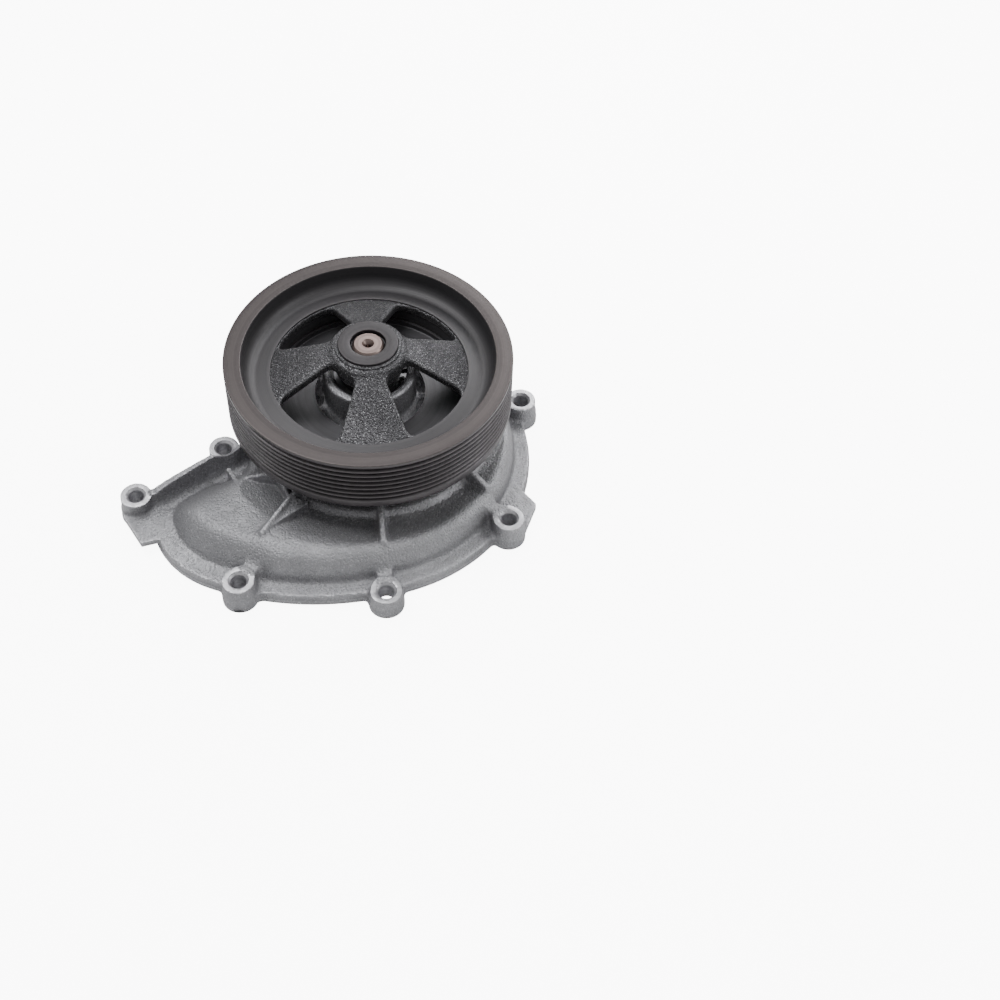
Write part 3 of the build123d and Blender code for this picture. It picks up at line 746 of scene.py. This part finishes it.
def turned_metal(name, light, dark, roughness, metallic=1.0, pitch=3000.0, strength=0.25, rubbed=None):
    """Lathe-turned metal: concentric lines, soft bands of tone and a few stains."""
    made, tree, shader, spot = start_material(name, metallic, roughness)
    marks = use_group(tree, TURNING_MARKS, Vector=spot, Pitch=pitch)
    colour = blend(tree, spread(tree, marks.outputs["Bands"], 0.3, 0.7), dark, light)
    stains = spread(tree, noise(tree, spot, 60.0, 5.0, 0.65), 0.45, 0.75, 0.0, 0.35)
    colour = blend(tree, stains, colour, dark)
    if rubbed:
        wear_and_shade = use_group(tree, EDGE_WEAR_AND_SHADE, Vector=spot)
        colour = blend(tree, math(tree, "MULTIPLY", wear_and_shade.outputs["Worn"], 0.8), colour, rubbed)
        # painted shade in inner corners
        colour = blend(tree, math(tree, "MULTIPLY", wear_and_shade.outputs["Crease Shade"], 0.6), colour, dark)
    link(tree, colour, shader.inputs["Base Color"])
    link(tree, spread(tree, marks.outputs["Height"], 0.3, 0.7, roughness - 0.05, roughness + 0.09),
         shader.inputs["Roughness"])
    set_bump(tree, shader, marks.outputs["Height"], strength, 0.05)
    return made


def moulded(name, light, dark, roughness, grain=900.0, depth=0.06, **plain):
    """Rubber, plastic, carbon or ceramic: faint mottling and a fine surface texture."""
    made, tree, shader, spot = start_material(name, 0.0, roughness, **plain)
    skin = use_group(tree, CAST_GRAIN, Vector=spot, Grain=grain, Lumps=300.0, Pits=0.2)
    link(tree, blend(tree, skin.outputs["Patches"], dark, light), shader.inputs["Base Color"])
    link(tree, spread(tree, skin.outputs["Patches"], 0.0, 1.0, roughness - 0.05, roughness + 0.07),
         shader.inputs["Roughness"])
    set_bump(tree, shader, skin.outputs["Height"], 0.4, depth)
    return made


def gasket_fibre(name):
    """Compressed fibre sheet: short pale and dark fibres in a grey binder."""
    made, tree, shader, spot = start_material(name, 0.0, 0.72)
    turned = []
    for angle in (0.4, 1.9):
        stretch = node(tree, "ShaderNodeMapping")
        link(tree, spot, stretch.inputs["Vector"])
        stretch.inputs["Rotation"].default_value = (0, 0, angle)
        stretch.inputs["Scale"].default_value = (900, 120, 400)
        turned.append(noise(tree, stretch.outputs[0], 2.4, 3.0, 0.6))
    fibres = math(tree, "MAXIMUM", *turned)
    clouds = noise(tree, spot, 55.0, 4.0, 0.6)
    colour = blend(tree, spread(tree, fibres, 0.5, 0.72), (0.07, 0.07, 0.075), (0.20, 0.20, 0.21))
    colour = blend(tree, spread(tree, clouds, 0.35, 0.7, 0.0, 0.4), colour, (0.10, 0.10, 0.105))
    link(tree, colour, shader.inputs["Base Color"])
    link(tree, spread(tree, fibres, 0.4, 0.7, 0.78, 0.6), shader.inputs["Roughness"])
    set_bump(tree, shader, fibres, 0.5, 0.08)
    return made


cast_aluminium = cast_metal(
    "cast_aluminium", (0.32, 0.32, 0.335), (0.225, 0.225, 0.237), (0.56, 0.56, 0.585), 0.50,
    metallic=0.75, grain=1100.0, depth=0.5, grain_glints=0.7, strength=1.0)
milled_aluminium = turned_metal(
    "milled_aluminium", (0.56, 0.56, 0.58), (0.38, 0.38, 0.40), 0.38, 0.7, pitch=2200.0)
spoke_iron = cast_metal(
    "spoke_iron", (0.088, 0.087, 0.092), (0.026, 0.026, 0.028), (0.46, 0.46, 0.48), 0.42,
    metallic=0.8, grain=1500.0, lumps=700.0, depth=0.4, pits=1.0, grain_glints=0.9, strength=1.0)
rim_iron = turned_metal(
    "rim_iron", (0.078, 0.069, 0.068), (0.050, 0.044, 0.044), 0.46, 0.85, rubbed=(0.32, 0.30, 0.29))
groove_iron = turned_metal(
    "groove_iron", (0.105, 0.099, 0.103), (0.055, 0.052, 0.054), 0.36, 0.9, rubbed=(0.36, 0.34, 0.35))
bowl_iron = turned_metal(
    "bowl_iron", (0.046, 0.044, 0.047), (0.030, 0.029, 0.031), 0.48, 0.4, pitch=1600.0)
hub_iron = turned_metal(
    "hub_iron", (0.050, 0.048, 0.050), (0.034, 0.032, 0.034), 0.42, 0.85, rubbed=(0.20, 0.19, 0.19))
shaft_steel = turned_metal("shaft_steel", (0.25, 0.20, 0.18), (0.13, 0.10, 0.095), 0.36)
ground_steel = turned_metal("ground_steel", (0.58, 0.58, 0.59), (0.42, 0.42, 0.43), 0.22)
ball_steel = turned_metal("ball_steel", (0.78, 0.78, 0.79), (0.66, 0.66, 0.67), 0.09, strength=0.04)
# darkened copy of ground steel for the bearing's outer ring: painted shade inside the bore
bearing_steel = turned_metal("bearing_steel", (0.22, 0.22, 0.23), (0.15, 0.15, 0.155), 0.36)
spring_steel = turned_metal("spring_steel", (0.55, 0.55, 0.56), (0.36, 0.36, 0.37), 0.30)
dark_circlip = cast_metal(
    "dark_circlip", (0.05, 0.05, 0.052), (0.03, 0.03, 0.032), (0.2, 0.2, 0.2), 0.42, 0.8, depth=0.04)
seal_brass = turned_metal("seal_brass", (0.62, 0.46, 0.20), (0.45, 0.32, 0.13), 0.30)
shield_black = turned_metal("shield_black", (0.075, 0.074, 0.079), (0.054, 0.053, 0.057), 0.42, 0.6)
impeller_iron = cast_metal(
    "impeller_iron", (0.17, 0.165, 0.16), (0.09, 0.085, 0.08), (0.34, 0.33, 0.32), 0.5)
black_rubber = moulded("black_rubber", (0.022, 0.022, 0.022), (0.012, 0.012, 0.012), 0.55)
cage_nylon = moulded("cage_nylon", (0.66, 0.61, 0.50), (0.56, 0.51, 0.41), 0.45)
seal_carbon = moulded("seal_carbon", (0.05, 0.05, 0.053), (0.03, 0.03, 0.032), 0.30, depth=0.02)
seat_ceramic = moulded("seat_ceramic", (0.78, 0.76, 0.70), (0.70, 0.68, 0.62), 0.22, depth=0.01)
fibre_sheet = gasket_fibre("fibre_sheet")


# ---------------------------------------------------------------- pieces
COVER_STEPS = (2.0, 1.05)  # cell sizes of the quick and the full mesh
COVER_TRIANGLES = 190000
SPIDER_STEPS = (1.2, 0.8)
SPIDER_TRIANGLES = 64000


def make_cover():
    """The cast cover with its volute, ribs, bosses and bearing tower."""
    low = (-143.0, -131.0, GASKET_TOP - 2.2)
    high = (101.0, 90.0, TOWER_TOP + 3.0)
    step = COVER_STEPS[1]
    points, faces = contour(cover_distance, low, high, step)
    points = np.clip(points, *box_mm("cover_casting"))
    obj = place("cast_cover", make_mesh("cast_cover", points, faces))
    thin_out(obj, COVER_TRIANGLES)
    mesh = obj.data
    mesh.materials.clear()
    for finish in (cast_aluminium, milled_aluminium):
        mesh.materials.append(finish)
    # machined faces: boss tops, hole walls and chamfers, the joint face and the bearing bore
    x, y, z = (read_all(mesh.polygons, "center", 3) / MM).T
    up = read_all(mesh.polygons, "normal", 3)[:, 2]
    machined = (z < GASKET_TOP + 0.1) & (up < -0.9)
    for bx, by, top in BOLTS:
        near = np.hypot(x - bx, y - by)
        machined |= (near < BOSS_R) & (up > 0.95) & (np.abs(z - top) < 0.3)
        machined |= near < BOLT_R + 1.1
    machined |= (np.hypot(x, y) < BORE_R + 1.8) & (z > CHAMBER_ROOF) & (z < TOWER_TOP - 3.5)
    mesh.polygons.foreach_set("material_index", machined.astype(np.int32))
    shade_smooth(mesh, 38)
    add_edge_values(mesh)
    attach(obj, "pump_body")
    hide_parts("cover_casting")


BOWL_R = 72.3
BOWL_FLOOR = 64.0
BOWL_FILLET = 7.0
RIM_TOP = 77.0
GROOVE_COUNT = 8
GROOVE_PITCH = 3.56
GROOVE_FIRST = 73.1
GROOVE_DEPTH = 2.7
GROOVE_FLOOR_R = RIM_R - GROOVE_DEPTH
CREST = 0.4  # half the flat on top of a belt rib
SKIRT_R = 75.0  # inside of the rim below the bowl
LEDGE_R = 56.6  # inner edge of the bowl's floor, where the spokes begin
RIM, BOWL, SPOKES, HUB, GROOVES = range(5)  # material numbers on the pulley


def end_tree(tree, start, end, geometry):
    """Turns copies into plain mesh, gives it the finish and closes the tree."""
    real = node(tree, "GeometryNodeRealizeInstances", inputs={"Geometry": geometry})
    painted = node(tree, "GeometryNodeSetMaterial", inputs={
        "Geometry": real.outputs[0], "Material": start.outputs["Finish"]})
    link(tree, painted.outputs[0], end.inputs[0])
    return tree


def belt_rib_tree():
    """Geometry nodes that set copies of one turned rib along the shaft axis at the belt's pitch."""
    tree, start, end = new_group("belt_ribs", "GeometryNodeTree", [
        ("Rib", "NodeSocketObject", None), ("Count", "NodeSocketInt", 7),
        ("Pitch", "NodeSocketFloat", 0.00356), ("Top", "NodeSocketFloat", 0.07),
        ("Finish", "NodeSocketMaterial", None),
    ], [("Geometry", "NodeSocketGeometry")])
    first = node(tree, "ShaderNodeCombineXYZ", inputs={"Z": start.outputs["Top"]})
    drop = math(tree, "MULTIPLY", start.outputs["Pitch"], -1.0)
    down = node(tree, "ShaderNodeCombineXYZ", inputs={"Z": drop})
    line = node(tree, "GeometryNodeMeshLine", inputs={
        "Count": start.outputs["Count"], "Start Location": first.outputs[0], "Offset": down.outputs[0]})
    rib = node(tree, "GeometryNodeObjectInfo", inputs={"Object": start.outputs["Rib"]})
    copies = node(tree, "GeometryNodeInstanceOnPoints", inputs={
        "Points": line.outputs[0], "Instance": rib.outputs["Geometry"]})
    return end_tree(tree, start, end, copies.outputs[0])


def ring_tree():
    """Geometry nodes that set copies of one rolling element round the shaft axis."""
    tree, start, end = new_group("rolling_ring", "GeometryNodeTree", [
        ("Element", "NodeSocketObject", None), ("Count", "NodeSocketInt", 8),
        ("Radius", "NodeSocketFloat", 0.014), ("Height", "NodeSocketFloat", 0.05),
        ("Finish", "NodeSocketMaterial", None),
    ], [("Geometry", "NodeSocketGeometry")])
    circle = node(tree, "GeometryNodeMeshCircle", inputs={
        "Vertices": start.outputs["Count"], "Radius": start.outputs["Radius"]})
    lift = node(tree, "ShaderNodeCombineXYZ", inputs={"Z": start.outputs["Height"]})
    lifted = node(tree, "GeometryNodeTransform", inputs={
        "Geometry": circle.outputs[0], "Translation": lift.outputs[0]})
    element = node(tree, "GeometryNodeObjectInfo", inputs={"Object": start.outputs["Element"]})
    copies = node(tree, "GeometryNodeInstanceOnPoints", inputs={
        "Points": lifted.outputs[0], "Instance": element.outputs["Geometry"]})
    return end_tree(tree, start, end, copies.outputs[0])


def coil_tree():
    """Geometry nodes that wind round wire into a coil spring."""
    tree, start, end = new_group("coil_spring", "GeometryNodeTree", [
        ("Turns", "NodeSocketFloat", 3.0), ("Radius", "NodeSocketFloat", 0.0155),
        ("Length", "NodeSocketFloat", 0.006), ("Wire", "NodeSocketFloat", 0.0006),
        ("Base", "NodeSocketFloat", 0.0208), ("Finish", "NodeSocketMaterial", None),
    ], [("Geometry", "NodeSocketGeometry")])
    spiral = node(tree, "GeometryNodeCurveSpiral", inputs={
        "Resolution": 64, "Rotations": start.outputs["Turns"], "Start Radius": start.outputs["Radius"],
        "End Radius": start.outputs["Radius"], "Height": start.outputs["Length"]})
    lift = node(tree, "ShaderNodeCombineXYZ", inputs={"Z": start.outputs["Base"]})
    lifted = node(tree, "GeometryNodeTransform", inputs={
        "Geometry": spiral.outputs[0], "Translation": lift.outputs[0]})
    section = node(tree, "GeometryNodeCurvePrimitiveCircle", inputs={
        "Resolution": 16, "Radius": start.outputs["Wire"]})
    wire = node(tree, "GeometryNodeCurveToMesh", inputs={
        "Curve": lifted.outputs[0], "Profile Curve": section.outputs[0], "Fill Caps": True})
    return end_tree(tree, start, end, wire.outputs[0])


def run_tree(name, tree, values):
    """A plain mesh object from a geometry node tree with these named inputs."""
    obj = bpy.data.objects.new(name, bpy.data.meshes.new(name))
    bpy.context.scene.collection.objects.link(obj)
    modifier = obj.modifiers.new("nodes", "NODES")
    modifier.node_group = tree
    for item in tree.interface.items_tree:
        if item.in_out == "INPUT" and item.name in values:
            modifier[item.identifier] = values[item.name]
    bpy.context.view_layer.update()
    return settle(obj)


def mesh_arrays(mesh):
    """A mesh's points in millimetres and its triangles."""
    mesh.calc_loop_triangles()
    return read_all(mesh.vertices, "co", 3) / MM, read_all(mesh.loop_triangles, "vertices", 3, np.int32)


def join(name, shells):
    """One mesh from several closed shells, each (points, faces, material number)."""
    points, faces, parts, base = [], [], [], 0
    for shell_points, shell_faces, part in shells:
        shell_faces = np.asarray(shell_faces)
        if shell_faces.shape[1] == 4:
            shell_faces = np.vstack([shell_faces[:, [0, 1, 2]], shell_faces[:, [0, 2, 3]]])
            part = np.concatenate([part, part]) if np.ndim(part) else part
        points.append(shell_points)
        faces.append(shell_faces + base)
        parts.append(np.broadcast_to(part, len(shell_faces)))
        base += len(shell_points)
    return make_mesh(name, np.vstack(points), np.vstack(faces), np.concatenate(parts))


def rim_shell():
    """The turned rim with the core under the belt ribs, and the floor of the bowl."""
    last = GROOVE_FIRST - GROOVE_PITCH * (GROOVE_COUNT - 1)
    side = GROOVE_PITCH / 2 - CREST
    profile = [
        (BOWL_R, RIM_TOP), (RIM_R, RIM_TOP), (RIM_R, GROOVE_FIRST + side),
        (GROOVE_FLOOR_R, GROOVE_FIRST + CREST), (GROOVE_FLOOR_R, last - CREST),
        (RIM_R, last - side), (RIM_R, RIM_BOTTOM), (SKIRT_R, RIM_BOTTOM),
        # under the bowl: its floor and the short sleeve at the inner edge
        (SKIRT_R, 56.0), (72.0, 59.0), (62.0, 59.0), (60.0, 57.0), (60.0, 44.5),
        (LEDGE_R, 44.5), (LEDGE_R, 58.2), (LEDGE_R, BOWL_FLOOR + 1.6),
    ]
    # the fillet between the bowl's floor and its wall
    for turn in range(0, 91, 15):
        profile.append((BOWL_R - 7.6 + BOWL_FILLET * sin(radians(turn)),
                        BOWL_FLOOR + BOWL_FILLET * (1 - cos(radians(turn)))))
    points, faces = lathe(rounded(profile, 0.7))
    centre = points[faces].mean(1)
    away = np.hypot(centre[:, 0], centre[:, 1])
    inner = (away < BOWL_R + 0.1) | (centre[:, 2] < RIM_BOTTOM + 0.3)
    side = (away > GROOVE_FLOOR_R - 1) & (centre[:, 2] < RIM_TOP - 0.5)
    return points, faces, np.where(inner, BOWL, np.where(side, GROOVES, RIM))


def belt_rib_shell():
    """The ribs between the belt grooves, each with a rounded crest."""
    foot = GROOVE_PITCH / 2 - CREST
    root_r = GROOVE_FLOOR_R - 0.8  # the rib's own root lies inside the rim
    section = [(root_r, -foot), (GROOVE_FLOOR_R, -foot), (RIM_R, -CREST),
               (RIM_R, CREST), (GROOVE_FLOOR_R, foot), (root_r, foot)]
    points, faces = lathe(rounded(section, 0.35, 3, sharp=(0, 1, 4, 5)))
    one = place("one_rib", make_mesh("one_rib", points, faces))
    ribs = run_tree("all_ribs", belt_rib_tree(), {
        "Rib": one, "Count": GROOVE_COUNT - 1, "Pitch": GROOVE_PITCH * MM,
        "Top": (GROOVE_FIRST - GROOVE_PITCH / 2) * MM, "Finish": groove_iron})
    arrays = mesh_arrays(ribs.data)
    bpy.data.objects.remove(one)
    bpy.data.objects.remove(ribs)
    return (*arrays, GROOVES)


def hub_shell():
    """The turned hub disc and its collar, round the shaft."""
    profile = [
        (SHAFT_R, HUB_BOTTOM), (SHAFT_R, HUB_TOP - 3.2), (SHAFT_R + 1.1, HUB_TOP - 3.0),
        (SHAFT_R + 1.1, HUB_TOP), (HUB_R - 0.3, HUB_TOP), (HUB_R, HUB_TOP - 0.3),
        (HUB_R, HUB_TOP - 1.5), (COLLAR_R, HUB_TOP - 1.6), (COLLAR_R + 0.9, CONE_TOP - 0.6),
        (15.0, CONE_TOP - 3.0), (15.0, HUB_BOTTOM),
    ]
    points, faces = lathe(rounded(profile, 0.35, 3), 192)
    centre = points[faces].mean(1)
    away = np.hypot(centre[:, 0], centre[:, 1])
    return points, faces, np.where(away > HUB_R + 0.2, SPOKES, HUB)


def make_pulley():
    """The grooved pulley: turned rim and hub, cast spokes between them."""
    step = SPIDER_STEPS[1]
    low = (-62.0, -62.0, 54.0)
    high = (62.0, 62.0, HUB_TOP + 1.0)
    spider = place("spider", make_mesh("spider", *contour(spider_distance, low, high, step)))
    thin_out(spider, SPIDER_TRIANGLES)
    spokes = (*mesh_arrays(spider.data), SPOKES)
    bpy.data.objects.remove(spider)
    mesh = join("grooved_pulley", [rim_shell(), belt_rib_shell(), hub_shell(), spokes])
    for finish in (rim_iron, bowl_iron, spoke_iron, hub_iron, groove_iron):
        mesh.materials.append(finish)
    obj = place("grooved_pulley", mesh, 32.0)
    add_edge_values(mesh)
    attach(obj, "rotor")
    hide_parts("belt_pulley")


def make_rolling(name, replaced, body, element, count, radius, height, finish):
    """A ring of balls or rollers."""
    points, faces = element
    one = place("one_element", make_mesh("one_element", points, faces))
    obj = run_tree(name, RING_TREE, {
        "Element": one, "Count": count, "Radius": radius * MM, "Height": height * MM, "Finish": finish})
    bpy.data.objects.remove(one)
    shade_smooth(obj.data, 35)
    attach(obj, body)
    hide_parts(replaced)


def closed_turn(section, segments):
    """A solid of revolution about its own axis, from a section that starts and ends on the axis."""
    inner = section[1:-1]
    points, faces = [], []
    for s in range(segments):
        a = 2 * pi * s / segments
        points += [(r * cos(a), r * sin(a), z) for r, z in inner]
    count = len(inner)
    bottom, top = len(points), len(points) + 1
    points += [(0, 0, section[0][1]), (0, 0, section[-1][1])]
    for s in range(segments):
        here, there = s * count, (s + 1) % segments * count
        faces.append((bottom, there, here))
        faces.append((top, here + count - 1, there + count - 1))
        for k in range(count - 1):
            faces.append((here + k, there + k, there + k + 1))
            faces.append((here + k, there + k + 1, here + k + 1))
    return np.array(points), np.array(faces)


def ball(radius):
    """A sphere, as rings from its lowest to its highest point."""
    steps = 20
    turns = [pi * k / steps for k in range(steps + 1)]
    return closed_turn([(radius * sin(a), -radius * cos(a)) for a in turns], 36)


def roller(radius, length):
    """A cylinder with eased ends, standing on its lower end."""
    ease = 0.4
    lower = [(0, 0), (radius - ease, 0), (radius - ease / 4, ease / 4), (radius, ease)]
    upper = [(r, length - z) for r, z in reversed(lower)]
    return closed_turn(lower + upper, 32)


RING_TREE = ring_tree()


def make_bearing_elements():
    """Balls and rollers, sized and placed from the CAD pieces that they replace."""
    low, high = box_mm("bearing_balls")
    ball_r = (high[2] - low[2]) / 2
    pitch_r = high[0] - ball_r
    make_rolling("steel_balls", "bearing_balls", "ball_set", ball(ball_r), 8, pitch_r,
                 (low[2] + high[2]) / 2, ball_steel)
    low, high = box_mm("bearing_rollers")
    roller_r = high[0] - pitch_r
    make_rolling("steel_rollers", "bearing_rollers", "roller_set",
                 roller(roller_r, high[2] - low[2]), 10, pitch_r, low[2], ball_steel)


def make_seal_spring():
    """The seal's coil spring, wound inside the box of the CAD piece."""
    low, high = box_mm("seal_spring")
    wire = 0.6
    coil = high[0] - wire
    length = high[2] - low[2] - 2 * wire
    obj = run_tree("coil_spring", coil_tree(), {
        "Turns": 3.0, "Radius": coil * MM, "Length": length * MM, "Wire": wire * MM,
        "Base": (low[2] + wire) * MM, "Finish": spring_steel})
    shade_smooth(obj.data)
    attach(obj, "pump_body")
    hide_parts("seal_spring")


def finish_frame_nodes():
    """The CAD pieces that keep their own shape get their finishes."""
    finishes = {
        # the bearing's outer ring takes the darkened steel: painted shade inside the bore
        "flange_gasket": fibre_sheet, "pump_shaft": shaft_steel, "bearing_outer_ring": bearing_steel,
        "ball_cage": cage_nylon, "roller_cage": cage_nylon, "inner_bearing_seal": black_rubber,
        "outer_bearing_seal": black_rubber, "bearing_circlip": dark_circlip, "seal_cup": seal_brass,
        "seal_bellows": black_rubber, "seal_carbon_ring": seal_carbon, "seal_seat_ring": seat_ceramic,
        "seal_seat_boot": black_rubber, "shaft_slinger": ground_steel, "impeller": impeller_iron,
        "pulley_dust_shield": shield_black,
    }
    for name, finish in finishes.items():
        mesh = frame["nodes"][name].data
        mesh.materials.clear()
        mesh.materials.append(finish)


# ---------------------------------------------------------------- stage
CAMERA_GLOW = 9.0  # how bright floor and sky look to the camera, apart from the light they give
FLOOR_HALF = 3000.0
FLOOR_Z = -0.02
LENS_MM = 57.74
CAMERA_PLACE = (78.4, -626.8, 740.7)
CAMERA_TURN = (38.39, -1.72, 2.17)
LAMPS = [  # name, place, aim, size, power
    ("key_box", (-350, 150, 950), (-20, -20, 30), (500, 500), 8.0),
    ("back_box", (250, 700, 600), (0, 0, 40), (700, 350), 7.0),
    ("right_box", (750, -50, 600), (0, 0, 30), (350, 500), 3.0),
]


def camera_glow(tree):
    """The glow for rays that come straight from the camera, and none for others."""
    sight = tree.nodes.new("ShaderNodeLightPath")
    return math(tree, "MULTIPLY", sight.outputs["Is Camera Ray"], CAMERA_GLOW)


def make_floor():
    """A wide pale floor, level with the gasket's lower face."""
    signs = [(-1, -1), (1, -1), (1, 1), (-1, 1)]
    corners = [(i * FLOOR_HALF, j * FLOOR_HALF, FLOOR_Z) for i, j in signs]
    mesh = make_mesh("floor", corners, [(0, 1, 2, 3)])
    obj = bpy.data.objects.new("floor", mesh)
    bpy.context.scene.collection.objects.link(obj)
    made, tree, shader, spot = start_material("floor_paper", 0.0, 0.9)
    clouds = spread(tree, noise(tree, spot, 3.0), 0.3, 0.7)
    colour = blend(tree, clouds, (0.93, 0.93, 0.93), (0.95, 0.95, 0.95))
    link(tree, colour, shader.inputs["Base Color"])
    link(tree, colour, shader.inputs["Emission Color"])
    link(tree, camera_glow(tree), shader.inputs["Emission Strength"])
    mesh.materials.append(made)


def add_lamp(name, place_mm, aim_mm, size_mm, power):
    lamp = bpy.data.lights.new(name, "AREA")
    lamp.shape = "RECTANGLE"
    lamp.size = size_mm[0] * MM
    lamp.size_y = size_mm[1] * MM
    lamp.energy = power
    obj = bpy.data.objects.new(name, lamp)
    bpy.context.scene.collection.objects.link(obj)
    obj.location = Vector(place_mm) * MM
    obj.rotation_euler = (Vector(aim_mm) - Vector(place_mm)).to_track_quat("-Z", "Y").to_euler()


def light_studio():
    """A sky that is bright overhead and dimmer round the sides, with three soft boxes."""
    world = bpy.data.worlds.new("studio")
    bpy.context.scene.world = world
    world.use_nodes = True
    tree = world.node_tree
    ray = node(tree, "ShaderNodeTexCoord")
    split = node(tree, "ShaderNodeSeparateXYZ", inputs={0: ray.outputs["Generated"]})
    level = spread(tree, split.outputs[2], -0.1, 0.9, 0.20, 0.85)
    link(tree, math(tree, "MAXIMUM", level, camera_glow(tree)), tree.nodes["Background"].inputs["Color"])
    tree.nodes["Background"].inputs["Strength"].default_value = 0.95
    for lamp in LAMPS:
        add_lamp(*lamp)


def set_camera():
    lens = bpy.data.cameras.new("camera")
    lens.lens = LENS_MM
    lens.sensor_width = 36.0
    lens.clip_start = 0.05
    lens.clip_end = 50.0
    obj = bpy.data.objects.new("camera", lens)
    bpy.context.scene.collection.objects.link(obj)
    obj.location = Vector(CAMERA_PLACE) * MM
    obj.rotation_euler = [radians(turn) for turn in CAMERA_TURN]
    bpy.context.scene.camera = obj


make_cover()
make_pulley()
make_bearing_elements()
make_seal_spring()
finish_frame_nodes()
make_floor()
light_studio()
set_camera()
